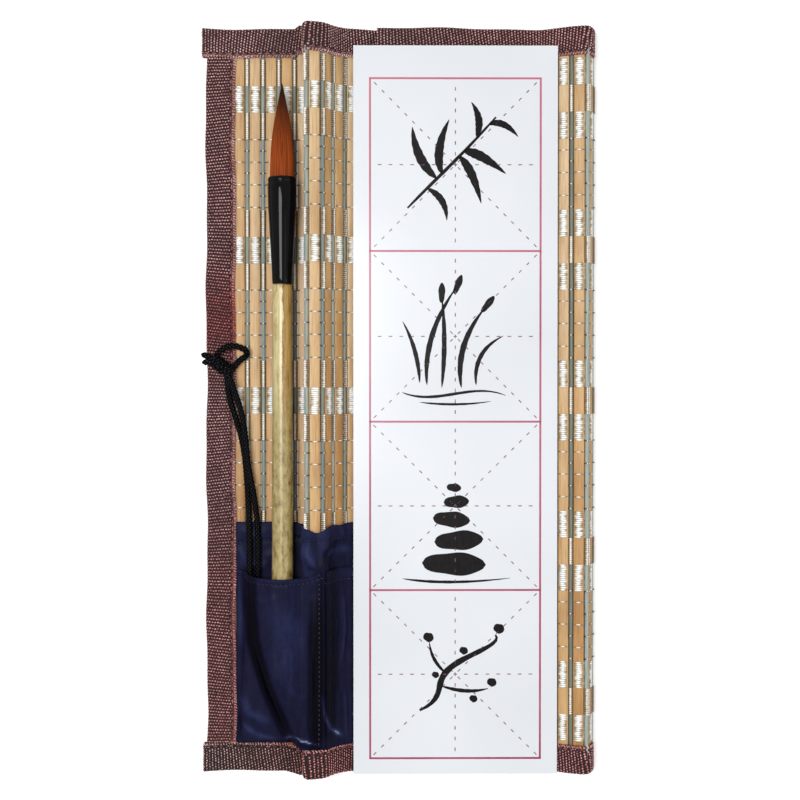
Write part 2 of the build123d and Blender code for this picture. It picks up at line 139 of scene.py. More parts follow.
class Recipe:
    """Short calls for the nodes of one material or world."""

    def __init__(self, tree):
        self.nodes, self.links = tree.nodes, tree.links

    def feed(self, socket, value):
        """Sets a socket to a number or colour, or links another socket to it."""
        if isinstance(value, bpy.types.NodeSocket):
            self.links.new(value, socket)
        else:
            socket.default_value = value

    def node(self, kind, **values):
        """A new node, with the named sockets set or linked."""
        made = self.nodes.new(kind)
        for socket, value in values.items():
            self.feed(made.inputs[socket], value)
        return made

    def math(self, operation, *values):
        """One sum, product or other operation."""
        made = self.nodes.new("ShaderNodeMath")
        made.operation = operation
        for socket, value in zip(made.inputs, values):
            self.feed(socket, value)
        return made.outputs[0]


# %% Helpers for finishes


class Finish(Recipe):
    """One node material, and the record's material slot that it belongs to."""

    def __init__(self, name, roughness, specular=0.5, slot=None):
        self.material = bpy.data.materials.new(name)
        self.material.use_nodes = True
        super().__init__(self.material.node_tree)
        self.slot = slot
        self.surface = self.nodes["Principled BSDF"]
        self.surface.inputs["Roughness"].default_value = roughness
        self.surface.inputs["Specular IOR Level"].default_value = specular

    def place(self, stretch=(1, 1, 1)):
        """Coordinates on the piece, stretched along its axes."""
        spot = self.node("ShaderNodeTexCoord").outputs["Object"]
        return self.node("ShaderNodeMapping", Vector=spot, Scale=stretch).outputs["Vector"]

    def noise(self, scale, detail=2.0, roughness=0.5, stretch=(1, 1, 1)):
        """Soft random pattern from 0 to 1."""
        return self.node("ShaderNodeTexNoise", Vector=self.place(stretch), Scale=scale, Detail=detail,
                         Roughness=roughness).outputs["Fac"]

    def attribute(self, name):
        """A number that the mesh carries at each of its points."""
        reader = self.nodes.new("ShaderNodeAttribute")
        reader.attribute_name = name
        return reader.outputs["Fac"]

    def ramp(self, factor, *stops):
        """Colours along a number from 0 to 1. Each stop is a place and a screen colour."""
        made = self.node("ShaderNodeValToRGB", Fac=factor)
        elements = made.color_ramp.elements
        while len(elements) < len(stops):
            elements.new(0.5)
        for element, (place, *colour) in zip(elements, stops):
            element.position = place
            element.color = screen(*colour)
        return made.outputs["Color"]

    def over(self, share, first, second, way="MULTIPLY"):
        """One colour with a share of another laid over it."""
        made = self.nodes.new("ShaderNodeMix")
        made.data_type, made.blend_type = "RGBA", way
        for socket, value in (("Factor", share), (6, first), (7, second)):
            self.feed(made.inputs[socket], value)
        return made.outputs[2]

    def bump(self, height, depth, strength=1.0):
        """Small relief, its depth in metres."""
        made = self.node("ShaderNodeBump", Height=height, Distance=depth, Strength=strength)
        self.feed(self.surface.inputs["Normal"], made.outputs["Normal"])

    def colour(self, value):
        """The surface's own colour."""
        self.feed(self.surface.inputs["Base Color"], value)


# %% [markdown]
# The light is that of a small studio: a small soft lamp above at the left, whose reflection is the bright
# line on the brush's collar, a weaker and wider one from the right, and an even pale surround. The floor and
# the surround are white only to the camera and to reflections, so the object itself is lit at a plain level
# and keeps its own colours.

# %% Floor and surround
SURROUND_LIGHT = 0.42
FLOOR_TONE, FLOOR_GLOW = 0.86, 0.34
FLOOR_REACH, FLOOR_LEVEL = 3, -0.02 * MM

world = bpy.data.worlds.new("pale_surround")
bpy.context.scene.world = world
world.use_nodes = True
surround = Recipe(world.node_tree)
background = surround.nodes["Background"].inputs
ray = surround.node("ShaderNodeLightPath").outputs
shown = surround.math("MAXIMUM", surround.math("MAXIMUM", ray["Is Camera Ray"], ray["Is Glossy Ray"]),
                      ray["Is Transmission Ray"])
surround.feed(background["Color"], (1, 1, 1, 1))
strength = surround.math("MULTIPLY_ADD", shown, 1 - SURROUND_LIGHT, SURROUND_LIGHT)
surround.feed(background["Strength"], strength)

floor_finish = Finish("pale_table", roughness=0.9)
floor_finish.colour((FLOOR_TONE, FLOOR_TONE, FLOOR_TONE, 1))
seen = floor_finish.node("ShaderNodeLightPath").outputs["Is Camera Ray"]
floor_glow = floor_finish.node("ShaderNodeEmission", Color=(1, 1, 1, 1),
                               Strength=floor_finish.math("MULTIPLY", seen, FLOOR_GLOW))
floor_sum = floor_finish.nodes.new("ShaderNodeAddShader")
for socket, shader in zip(floor_sum.inputs, (floor_finish.surface, floor_glow)):
    floor_finish.feed(socket, shader.outputs[0])
floor_finish.feed(floor_finish.nodes["Material Output"].inputs["Surface"], floor_sum.outputs[0])

floor_mesh = bpy.data.meshes.new("table_top")
floor_corners = [(x * FLOOR_REACH, y * FLOOR_REACH, 0) for x, y in ((-1, -1), (1, -1), (1, 1), (-1, 1))]
floor_mesh.from_pydata(floor_corners, [], [(0, 1, 2, 3)])
floor_mesh.materials.append(floor_finish.material)
table_top = bpy.data.objects.new("table_top", floor_mesh)
table_top.location.z = FLOOR_LEVEL
bpy.context.scene.collection.objects.link(table_top)
print("floor", 2 * FLOOR_REACH, "m wide")

# %% Lamps that face the middle of the mat
# Each lamp: its place, its two sides, and its power
LAMPS = {"main_lamp": ((-0.28, 0.07, 0.97), (0.26, 0.4), 6.6),
         "side_lamp": ((0.7, -0.3, 0.8), (0.6, 0.9), 2.4)}

for name, (place, sides, power) in LAMPS.items():
    light = bpy.data.lights.new(name, "AREA")
    light.shape = "RECTANGLE"
    light.size, light.size_y = sides
    light.energy = power
    lamp = bpy.data.objects.new(name, light)
    lamp.location = place
    lamp.rotation_euler = (-Vector(place)).to_track_quat("-Z", "Y").to_euler()
    bpy.context.scene.collection.objects.link(lamp)
    print(name, power, "W")

# %% Helpers for pieces


def piece(name, mesh, body, finish, replaced=(), smooth=True, **numbers):
    """An object of a mesh's points and faces that rides on a body. Numbers are values at its points."""
    points, faces = mesh
    data = bpy.data.meshes.new(name)
    data.from_pydata([tuple(point) for point in points], [], [tuple(face) for face in faces])
    data.update()
    data.materials.append(finish.material)
    data.polygons.foreach_set("use_smooth", [smooth] * len(data.polygons))
    for key, values in numbers.items():
        data.attributes.new(key, "FLOAT", "POINT").data.foreach_set("value", np.asarray(values, np.float32))
    made = bpy.data.objects.new(name, data)
    bpy.context.scene.collection.objects.link(made)
    if body:
        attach(made, body)
    if replaced:
        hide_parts(*replaced)
    return made


def tube_faces(rings, sides):
    """Faces of a closed tube whose points lie ring after ring."""
    faces = []
    for low in range(0, (rings - 1) * sides, sides):
        for side in range(sides):
            after = (side + 1) % sides
            faces.append((low + side, low + after, low + sides + after, low + sides + side))
    return faces + [tuple(range(sides - 1, -1, -1)), tuple(range((rings - 1) * sides, rings * sides))]


def joined(parts):
    """Several meshes as one."""
    points, faces, start = [], [], 0
    for part_points, part_faces in parts:
        points.append(np.asarray(part_points, float))
        faces += [tuple(start + corner for corner in face) for face in part_faces]
        start += len(part_points)
    return np.concatenate(points), faces


def lengths_along(points):
    """Distance from a line's first point to each of its points."""
    return np.concatenate([[0], np.cumsum(np.linalg.norm(np.diff(points, axis=0), axis=1))])


def headings(points):
    """Direction of a line at each of its points."""
    along = np.gradient(points, axis=0)
    return along / np.linalg.norm(along, axis=1)[:, None]


# %% [markdown]
# The tie cord is a soft braided cord, doubled. It leaves the knot, runs down beside the brush, turns round
# in the pocket and comes back. A smooth spline with the route's points as its control points is the line
# that such a cord takes. The braid is modelled, because its strands catch the light along the whole cord:
# two families of strands wind round the tube against each other and pass over and under by turns. The light
# on the strands' crests and the shade between them are also painted into the cord's colour.

# %% Routes of the tie cord, the loop and the knot's ends
CORD_DIAMETER = 2.7 * MM
TIE_ROUTE = [
    (-69.7, 10.2, 8.6), (-67.7, 4.6, 8.3), (-65.4, -2.2, 7.9), (-63.9, -8.8, 7.6), (-63.0, -17.0, 7.4),
    (-62.3, -25.6, 7.4), (-60.4, -35.5, 6.7), (-58.6, -47.0, 5.3), (-58.2, -60.0, 5.2), (-58.4, -75.0, 5.1),
    (-58.2, -90.0, 5.1), (-58.0, -101.0, 5.1), (-56.2, -109.6, 5.1), (-50.7, -116.2, 5.1),
    (-45.4, -121.5, 5.1), (-45.4, -128.9, 5.1), (-50.7, -134.2, 5.1), (-58.1, -134.2, 5.1),
    (-63.4, -128.9, 5.1), (-63.3, -121.3, 5.1), (-62.6, -111.0, 5.1), (-62.0, -98.0, 5.1),
    (-61.9, -84.5, 5.1), (-61.7, -71.0, 5.1), (-61.8, -57.5, 5.2), (-62.0, -44.5, 4.8), (-62.7, -33.0, 4.4),
    (-63.5, -23.0, 4.5), (-65.0, -14.5, 4.7), (-67.3, -6.5, 5.4), (-69.3, -0.5, 5.5), (-70.4, 5.2, 5.4),
    (-70.7, 10.2, 5.6)]
LOOP_ROUTE = [
    (-75.6, 18.4, 7.5), (-72.6, 21.6, 7.9), (-68.4, 22.8, 7.9), (-65.2, 22.0, 7.9), (-62.7, 20.6, 7.2),
    (-62.7, 18.6, 4.6), (-65.2, 17.2, 4.5), (-67.4, 14.8, 5.3), (-69.4, 12.0, 5.6)]
TAIL_ROUTES = [
    [(-75.8, 17.0, 6.0), (-78.4, 18.3, 5.6), (-81.2, 19.3, 5.4)],
    [(-76.0, 16.0, 8.0), (-78.3, 16.2, 8.5), (-80.6, 15.7, 8.4)]]
# Inside the knot the two strands go on for a little
STUB_ROUTES = [
    [(-73.0, 13.8, 7.6), (-71.2, 12.2, 8.2), (-69.7, 10.2, 8.6), (-68.7, 7.4, 8.45)],
    [(-73.4, 13.6, 6.4), (-71.6, 12.2, 5.8), (-70.7, 10.2, 5.6), (-70.55, 7.7, 5.5)]]


# %% Helpers for lines
# Below this, a line runs too nearly upright for its direction across to be taken from the vertical
UPRIGHT = 0.1


def smooth_line(route):
    """Points of the smooth spline that has a route's points, in millimetres, as its control points."""
    curve = bpy.data.curves.new("route", "CURVE")
    curve.dimensions = "3D"
    curve.resolution_u = 12
    spline = curve.splines.new("NURBS")
    spline.points.add(len(route) - 1)
    for point, place in zip(spline.points, route):
        point.co = (*(value * MM for value in place), 1)
    spline.order_u = 3
    spline.use_endpoint_u = True
    holder = bpy.data.objects.new("route", curve)
    bpy.context.scene.collection.objects.link(holder)
    bpy.context.view_layer.update()
    line = bpy.data.meshes.new_from_object(holder.evaluated_get(bpy.context.evaluated_depsgraph_get()))
    points = np.array([vertex.co for vertex in line.vertices])
    bpy.data.objects.remove(holder)
    bpy.data.curves.remove(curve)
    bpy.data.meshes.remove(line)
    return points


def evenly(points, spacing):
    """The same line with points at even steps."""
    along = lengths_along(points)
    places = np.linspace(0, along[-1], max(2, int(along[-1] / spacing) + 1))
    return np.stack([np.interp(places, along, points[:, axis]) for axis in range(3)], axis=1)


def cross_directions(points):
    """Two directions across a line at each of its points, turning as little as can be."""
    along = headings(points)
    first = np.cross(along[0], (0, 0, 1))
    if np.linalg.norm(first) < UPRIGHT:
        first = np.cross(along[0], (0, 1, 0))
    crosses = [first / np.linalg.norm(first)]
    for direction in along[1:]:
        cross = crosses[-1] - direction * (crosses[-1] @ direction)
        crosses.append(cross / np.linalg.norm(cross))
    return np.array(crosses), np.cross(along, crosses)


# %% Braid over a line
BRAID_SIDES = 20
BRAID_STEP = 0.32 * MM
BRAID_STRANDS = 5
BRAID_PITCH = 1.7 * MM
BRAID_DEPTH = 0.36 * MM
# The cord's ends close over this share of its diameter, down to the least share of its section
END_REACH, END_LEAST = 0.4, 0.12
# How much of a strand's swell is always there, and how much follows the strand that crosses it
SWELL, SWELL_CROSSED = 0.55, 0.45


def braid_height(turn, along):
    """Height from 0 to 1 of the braid's surface, at a turn round the cord and a place along it."""
    across = turn / TURN * BRAID_STRANDS
    one, other = across + along / BRAID_PITCH, across - along / BRAID_PITCH
    over = (np.floor(one) + np.floor(other)) % 2 == 0
    swell_one, swell_other = np.sin(math.pi * (one % 1)), np.sin(math.pi * (other % 1))
    return np.where(over, swell_one * (SWELL + SWELL_CROSSED * swell_other),
                    swell_other * (SWELL + SWELL_CROSSED * swell_one))


def braided(points, diameter=CORD_DIAMETER):
    """Mesh of a braided cord along a line, and its strands' height at each point."""
    line = evenly(points, BRAID_STEP)
    crosses, ups = cross_directions(line)
    turns = np.linspace(0, TURN, BRAID_SIDES, endpoint=False)
    along = np.arange(len(line)) * BRAID_STEP
    height = braid_height(turns[None, :], along[:, None])
    end_share = np.minimum(along, along[::-1]) / (END_REACH * diameter)
    radius = (diameter / 2 - BRAID_DEPTH * (1 - height)) * np.sqrt(np.clip(end_share, END_LEAST, 1))[:, None]
    ring = crosses[:, None, :] * np.cos(turns)[None, :, None] + ups[:, None, :] * np.sin(turns)[None, :, None]
    around = line[:, None, :] + ring * radius[:, :, None]
    return (around.reshape(-1, 3), tube_faces(len(line), BRAID_SIDES)), height.ravel()


# %% Finish of the black cord, with painted highlights on the braid's crests
cord_finish = Finish("black_braid", roughness=0.5, specular=0.03, slot="black_cord")
# Near black in the braid's hollows and light on its crests: painted shade and painted highlight
cord_finish.colour(cord_finish.ramp(cord_finish.attribute("strand"), (0.0, 1, 1, 1), (0.66, 5, 5, 6),
                                    (0.86, 26, 26, 30), (1.0, 120, 120, 126)))
cord_finish.bump(cord_finish.noise(5200), 0.05 * MM, 0.5)

# %% Cord, loop and knot
KNOT_CENTRE = np.array((-73.5, 14.8, 7.15)) * MM
KNOT_HEADING = math.radians(-39)
KNOT_TURNS = 4.4
KNOT_RADIUS, KNOT_SPAN = 1.85 * MM, 8.6 * MM
KNOT_UNEVEN, KNOT_PACE = 0.07, 2.3
KNOT_LEAN, KNOT_SHIFT = 0.9 * MM, 0.6
KNOT_POINTS = 120
KNOT_STRAND = 2.6 * MM


def knot_line():
    """Line of the strand that is wound round the knot, a little loose and uneven."""
    along = np.array((math.cos(KNOT_HEADING), math.sin(KNOT_HEADING), 0))
    side = np.array((-math.sin(KNOT_HEADING), math.cos(KNOT_HEADING), 0))
    up = np.array((0, 0, 1))
    points = []
    for share in np.linspace(0, 1, KNOT_POINTS):
        turn = share * KNOT_TURNS * TURN
        reach = KNOT_RADIUS * (1 + KNOT_UNEVEN * math.sin(KNOT_PACE * turn))
        place = along * ((share - 0.5) * KNOT_SPAN + KNOT_LEAN * math.sin(turn + KNOT_SHIFT))
        points.append(KNOT_CENTRE + place + side * reach * math.cos(turn) + up * reach * math.sin(turn))
    return np.array(points)


def cord_piece(node, strands):
    """A piece of one or more braided strands that stands for a solid."""
    return piece(f"{node}_braid", joined([mesh for mesh, _ in strands]), "pocket_flap", cord_finish, [node],
                 strand=np.concatenate([heights for _, heights in strands]))


tie_line = smooth_line(TIE_ROUTE)
tie_cord = cord_piece("tie_cord", [braided(tie_line)])
cord_loop = cord_piece("cord_loop", [braided(smooth_line(LOOP_ROUTE))])
cord_knot = cord_piece("cord_knot", [braided(knot_line(), KNOT_STRAND)] + [
    braided(smooth_line(route)) for route in TAIL_ROUTES + STUB_ROUTES])
tie_length = float(lengths_along(tie_line)[-1])
print("tie cord", round(tie_length / MM, 1), "mm along its spline")

# %% [markdown]
# The mat is a chain: stick, slat, stick, slat, 42 sticks in all. Most of the pieces below follow that chain,
# over the ridge and round the fold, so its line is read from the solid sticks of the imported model. Each
# stretch between two sticks rides on one body, and its inner side is the side that faces up in the open part.

# %% Line of the chain, read from the solid sticks
STICK_NODES = ["flap_sticks", "ridge_sticks", "base_sticks", "fold_sticks_1", "fold_sticks_2",
               "fold_sticks_3", "cover_sticks"]
SEGMENT_BODIES = (["pocket_flap"] * 11 + ["mat_base"] * 15 + ["fold_step_1", "fold_step_2"]
                  + ["fold_slope"] * 3 + ["cover"] * 10)
STICK_REACH = 1.8 * MM
CHAIN_STEP = 6.48 * MM


def stick_centres(node):
    """Centres, in the plane across the sticks, of the sticks that a node holds."""
    left = np.array([(vertex.co.x, vertex.co.z) for vertex in frame["nodes"][node].data.vertices])
    centres = []
    while len(left):
        near = np.linalg.norm(left - left[0], axis=1) < STICK_REACH
        centres.append((left[near].min(axis=0) + left[near].max(axis=0)) / 2)
        left = left[~near]
    return centres


chain, stick_bodies = [], []
for node in STICK_NODES:
    waiting = stick_centres(node)
    last = chain[-1] if chain else np.array((-1, 0))
    while waiting:
        last = waiting.pop(np.argmin([np.linalg.norm(centre - last) for centre in waiting]))
        chain.append(last)
        stick_bodies.append(body_of(frame["nodes"][node])[0])
chain = np.array(chain)
chain_along = np.diff(chain, axis=0)
chain_steps = np.linalg.norm(chain_along, axis=1)
chain_along /= chain_steps[:, None]
chain_up = np.stack([-chain_along[:, 1], chain_along[:, 0]], axis=1)
SLAT_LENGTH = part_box("base_slats")[1][1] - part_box("base_slats")[0][1]
print(len(chain), "sticks, steps of", round(float(chain_steps.mean()) / MM, 3), "mm")

# %% [markdown]
# The slats are split bamboo, with soft edges, a slightly arched face and straight grain. No two have quite
# the same tone. Each is a thin profile carried along its length with a very small sway, and carries its own
# tone as a number that the material reads.

# %% Helpers for slats and sticks
STATIONS = 22
# A slat or stick sways less up and down than sideways, by this share
SWAY_UP = 0.4
SLAT_NODES = {"pocket_flap": ["flap_slats", "ridge_slats"], "mat_base": ["base_slats"],
              "fold_step_1": ["fold_slats_1"], "fold_step_2": ["fold_slats_2"],
              "fold_slope": ["fold_slats_3"], "cover": ["cover_slats"]}


def sway(size):
    """Small smooth offsets along a length."""
    along = np.linspace(0, 1, STATIONS)
    total = np.zeros(STATIONS)
    for wave in (1, 2, 3):
        total += chance.normal() / wave * np.sin(math.pi * wave * along + chance.uniform(0, TURN))
    return (total * size)[:, None]


def long_piece(profile, centre, along, up, drift):
    """Mesh of a profile carried along Y, with a small drift."""
    places = np.linspace(-SLAT_LENGTH / 2, SLAT_LENGTH / 2, STATIONS)
    u = profile[None, :, 0] + sway(drift)
    h = profile[None, :, 1] + sway(drift * SWAY_UP)
    y = np.repeat(places[:, None], len(profile), axis=1)
    points = np.stack([centre[0] + u * along[0] + h * up[0], y, centre[1] + u * along[1] + h * up[1]], axis=2)
    return points.reshape(-1, 3), tube_faces(STATIONS, len(profile))


def lay(kind, rows, profile, drift, draw_tone, tone_along, finish, nodes):
    """A piece for each body: a profile along each of the body's rows, every one with a tone of its own."""
    for body in SLAT_NODES:
        parts, tones = [], []
        for row_body, *row in rows:
            if row_body == body:
                parts.append(long_piece(profile, *row, drift))
                tones += [draw_tone()] * len(parts[-1][0])
        mesh = joined(parts)
        tones = np.array(tones) + np.interp(mesh[0][:, 1] / MM, *tone_along)
        piece(f"{kind}_of_{body}", mesh, body, finish, nodes(body), tone=tones)
        print(len(parts), kind, "on", body)


# %% Bamboo slats
SLAT_PROFILE = np.array([
    (-2.2, 0.2), (-2.12, 0.46), (-1.8, 0.6), (-1.0, 0.7), (0, 0.74), (1.0, 0.7), (1.8, 0.6), (2.12, 0.46),
    (2.2, 0.2), (2.2, -0.45), (2.08, -0.66), (1.75, -0.73), (0, -0.75), (-1.75, -0.73), (-2.08, -0.66),
    (-2.2, -0.45)]) * MM
SLAT_SWAY = 0.07 * MM
SLAT_TONES = (0.1, 0.95)
# The slats grow browner towards the lining: places along them, and the change of tone there
SLAT_TONE_ALONG = ((-150, -50, 40, 150), (-0.34, -0.3, 0.0, 0.12))

bamboo_finish = Finish("slat_bamboo", roughness=0.42, specular=0.3, slot="bamboo")
slat_tone = bamboo_finish.ramp(bamboo_finish.attribute("tone"), (0.0, 186, 136, 78), (0.35, 206, 164, 108),
                               (0.7, 216, 182, 134), (1.0, 226, 200, 162))
slat_grain = bamboo_finish.noise(2600, 4, 0.65, (1, 0.03, 1))
grain_shade = bamboo_finish.ramp(slat_grain, (0.3, 196, 170, 140), (0.5, 238, 232, 224), (0.75, *WHITE))
cloud_shade = bamboo_finish.ramp(bamboo_finish.noise(170, 3, 0.5, (1, 0.25, 1)), (0.3, 214, 200, 184),
                                 (0.6, *WHITE))
bamboo_finish.colour(bamboo_finish.over(0.7, bamboo_finish.over(0.75, slat_tone, grain_shade), cloud_shade))
bamboo_finish.bump(slat_grain, 0.06 * MM, 0.6)

slat_rows = [(body, (chain[number] + chain[number + 1]) / 2, chain_along[number], chain_up[number])
             for number, body in enumerate(SEGMENT_BODIES)]
lay("slats", slat_rows, SLAT_PROFILE, SLAT_SWAY, lambda: chance.uniform(*SLAT_TONES), SLAT_TONE_ALONG,
    bamboo_finish, SLAT_NODES.get)

# %% [markdown]
# A thin round stick lies between each pair of slats. They are dyed grey-green, some darker than others, and
# are not perfectly straight. The same helper makes them, with a round profile.

# %% Round sticks
STICK_SIDES = 10
STICK_RADIUS = 0.85 * MM
STICK_SWAY = SLAT_SWAY * 0.6
DARK_STICKS, DARK_SHARE = (0.05, 0.35), 0.4
LIGHT_STICKS = (0.5, 1)
NO_TONE_ALONG = ((0, 1), (0, 0))

stick_turns = np.linspace(0, -TURN, STICK_SIDES, endpoint=False)
STICK_PROFILE = np.stack([np.cos(stick_turns), np.sin(stick_turns)], axis=1) * STICK_RADIUS
stick_finish = Finish("dyed_stick", roughness=0.45, specular=0.3, slot="grey_stick")
stick_tone = stick_finish.ramp(stick_finish.attribute("tone"), (0.0, 112, 118, 108), (0.5, 142, 150, 140),
                               (1.0, 170, 184, 178))
stick_grain = stick_finish.noise(3200, 3, 0.6, (1, 0.03, 1))
stick_shade = stick_finish.ramp(stick_grain, (0.3, 170, 164, 150), (0.65, *WHITE))
stick_finish.colour(stick_finish.over(0.7, stick_tone, stick_shade))
stick_finish.bump(stick_grain, 0.05 * MM, 0.5)


def stick_draw():
    """Tone of one stick: some are darker than the others."""
    return chance.choice([chance.uniform(*DARK_STICKS), chance.uniform(*LIGHT_STICKS)],
                         p=[DARK_SHARE, 1 - DARK_SHARE])


def nodes_of(body):
    """The solid sticks that ride on a body."""
    return [node for node in STICK_NODES if body_of(frame["nodes"][node]) == [body]]


stick_rows = [(body, centre, (1, 0), (0, 1)) for body, centre in zip(stick_bodies, chain)]
lay("sticks", stick_rows, STICK_PROFILE, STICK_SWAY, stick_draw, NO_TONE_ALONG, stick_finish, nodes_of)

# %% [markdown]
# Threads weave the chain together. Each goes over a slat and under the next stick, or the other way round.
# They come in five groups of three dense bands, shiny and white, with single threads between the groups.
# Their highlights on the slats' crests and their shade where they dive are painted into their tone.
# Every thread is modelled, because from near the dense bands are a row of ribs. A thread's cross-section
# has four corners only, which smooth shading rounds off, since there are so many of them.

# %% Places of the threads along the slats
GROUP_SPACING, GROUP_SHIFT = 61.5 * MM, 0.3 * MM
# Shift of each dense band from its group's middle, and the side of the slats on which it lies
BANDS = [(-10.9 * MM, -1), (0.0, 1), (10.9 * MM, -1)]
BAND_THREADS, BAND_PITCH = 13, 0.84 * MM
SINGLES = [(17.5 * MM, 1), (26.8 * MM, 1), (36.0 * MM, 1), (45.2 * MM, 1),
           (22.2 * MM, -1), (31.5 * MM, -1), (40.6 * MM, -1)]

threads = []
for group in range(-2, 3):
    centre = group * GROUP_SPACING + GROUP_SHIFT
    threads += [(centre + shift + (thread - (BAND_THREADS - 1) / 2) * BAND_PITCH, side, "dense")
                for shift, side in BANDS for thread in range(BAND_THREADS)]
    if group < 2:
        threads += [(centre + shift, side, "single") for shift, side in SINGLES]
print(len(threads), "threads")

# %% Line of a thread over and under the chain
# One step of a thread that lies over the slat: place along the step, height, and its tone at that place, a
# painted highlight on the slat's crest and painted shade where it dives
THREAD_STEP = [
    (0.0, -1.12, 1.0), (0.5, -1.0, 0.24), (0.92, -0.55, 0.05), (1.5, 0.6, 0.3), (2.1, 0.93, 0.62),
    (3.24, 1.02, 1.0), (4.38, 0.93, 0.62), (4.98, 0.6, 0.3), (5.56, -0.55, 0.05), (5.98, -1.0, 0.24)]
SHARP_TURN = math.radians(25)
WRAP_TURN = math.radians(20)
WRAP_RADIUS = 1.12 * MM
# Tone of a thread round a stick: painted shade at its ends, and how much painted highlight it gains in the
# middle
WRAP_PAINTED_SHADE, WRAP_PAINTED_GLINT = 0.1, 0.9
END_WRAP = math.radians(42)
# Where two slats close up over a stick as the flap folds, the threads end before the stick's crest
SHORT_WRAPS = {(11, -1): math.radians(-22)}


def around_stick(number, side, first, last):
    """Points of a thread round a stick, between two directions given as angles, and their tones, with a
    painted highlight on the stick's crest.
    """
    count = max(1, round(abs(last - first) / WRAP_TURN) + 1)
    points = [chain[number] - side * WRAP_RADIUS * np.array((math.cos(angle), math.sin(angle)))
              for angle in np.linspace(first, last, count)]
    wrap_painted_shine = WRAP_PAINTED_SHADE + WRAP_PAINTED_GLINT * np.sin(math.pi * (np.arange(count) + 0.5) / count) ** 2
    return points, list(wrap_painted_shine) if count > 1 else [THREAD_STEP[0][2]]


def thread_line(segments, side):
    """Line of a thread over some steps of the chain, in the plane across the sticks, with its tones of painted
    highlight and shade.
    """
    points, tones = [], []
    ups = np.unwrap([math.atan2(chain_up[number][1], chain_up[number][0]) for number in segments])
    first_wrap = SHORT_WRAPS.get((segments[0], side), END_WRAP)
    last_wrap = SHORT_WRAPS.get((segments[-1] + 1, side), END_WRAP)
    for order, number in enumerate(segments):
        first, last = ups[order - 1] if order else ups[0] - side * first_wrap, ups[order]
        if order and abs(last - first) < SHARP_TURN:
            first = last = (first + last) / 2
        elif not order and first_wrap < 0:
            last = first
        wrap, wrap_painted_shine = around_stick(number, side, first, last)
        stretch = chain_steps[number] / CHAIN_STEP
        points += wrap + [chain[number] + chain_along[number] * along * MM * stretch
                          + chain_up[number] * height * MM * side for along, height, _ in THREAD_STEP[1:]]
        tones += wrap_painted_shine + [tone for _, _, tone in THREAD_STEP[1:]]
    end = ups[-1] + side * last_wrap
    wrap, wrap_painted_shine = around_stick(segments[-1] + 1, side, end if last_wrap < 0 else ups[-1], end)
    return np.array(points + wrap), np.array(tones + wrap_painted_shine)


# %% Threads
# Half the width and half the thickness of a thread in a dense band, and of a single one
THREAD_HALVES = {"dense": (0.44 * MM, 0.27 * MM), "single": (0.28 * MM, 0.25 * MM)}
THREAD_WANDER = 0.04 * MM
# How much the dense threads' tones, which hold their painted highlights, vary as a whole and on their way up
# to the slat's face
DENSE_SHADES, CLIMB_TONES, CLIMB_SHADES = (0.88, 1.0), (0.25, 0.7), (0.45, 1.45)
SINGLE_FALL = 0.1


def thread_mesh(line, y, half_width, half_thickness):
    """Mesh of one thread: four corners round each point of its line."""
    along = headings(line)
    across = np.stack([-along[:, 1], along[:, 0]], axis=1) * half_thickness
    wander = np.repeat(y, len(line)) + chance.normal(0, THREAD_WANDER, len(line))
    corners = np.empty((len(line), 4, 3))
    for corner, (sideways, up) in enumerate([(-1, 0), (0, -1), (1, 0), (0, 1)]):
        corners[:, corner, 0] = line[:, 0] + across[:, 0] * up
        corners[:, corner, 1] = wander + half_width * sideways
        corners[:, corner, 2] = line[:, 1] + across[:, 1] * up
    return corners.reshape(-1, 3), tube_faces(len(line), 4)


def thread_painted_shine(tone, kind):
    """Tones of one thread, with its painted highlight and shade: the dense ones' painted shine is uneven where
    they rise over the slat.
    """
    if kind == "single":
        return tone ** 2 - SINGLE_FALL
    shade = tone * chance.uniform(*DENSE_SHADES)
    climbs = (tone > CLIMB_TONES[0]) & (tone < CLIMB_TONES[1])
    return np.where(climbs, shade * chance.uniform(*CLIMB_SHADES, len(tone)), shade)


# Dark where the threads dive, white on the crests: painted shade and a painted highlight.
thread_finish = Finish("shiny_thread", roughness=0.24, specular=0.9, slot="bamboo")
thread_finish.colour(thread_finish.ramp(
    thread_finish.attribute("tone"), (0.0, 70, 46, 32), (0.12, 104, 92, 76), (0.32, 172, 148, 112),
    (0.62, 230, 224, 208), (0.88, 255, 255, 254)))
thread_finish.bump(thread_finish.noise(2400, 2, 0.5, (0.4, 3, 1)), 0.05 * MM, 0.5)

for body in SLAT_NODES:
    segments = [number for number, name in enumerate(SEGMENT_BODIES) if name == body]
    lines = {side: thread_line(segments, side) for side in (-1, 1)}
    parts, tones = [], []
    for y, side, kind in threads:
        line, tone = lines[side]
        parts.append(thread_mesh(line, y, *THREAD_HALVES[kind]))
        tones.append(np.repeat(thread_painted_shine(tone, kind), 4))
    mesh = joined(parts)
    piece(f"threads_of_{body}", mesh, body, thread_finish, tone=np.concatenate(tones))
    print(len(mesh[1]), "faces of thread on", body)

# %% [markdown]
# A woven tape is folded over each edge of the mat and sewn through. Over the ridge and the fold it bends with
# the chain, so it is a profile carried along a line that rounds the chain's corners. Its weave shows as rows
# of small pale floats on a dark plum ground. They are modelled, since a bump alone would look flat from near.

# %% Rounded line of the chain
CORNER_REACH = 2.0 * MM
CORNER_SHARES = (0, 0.25, 0.5, 0.75, 1)


def rounded_line(points):
    """The chain's line with its corners rounded, so that tape and satin can follow it."""
    line = [points[0]]
    for before, corner, after in zip(points, points[1:], points[2:]):
        start, end = [corner + (other - corner) / np.linalg.norm(other - corner) * CORNER_REACH
                      for other in (before, after)]
        line += [(1 - share) ** 2 * start + 2 * share * (1 - share) * corner + share ** 2 * end
                 for share in CORNER_SHARES]
    return np.array(line + [points[-1]])


# %% Line of the mat, read by the distance along it


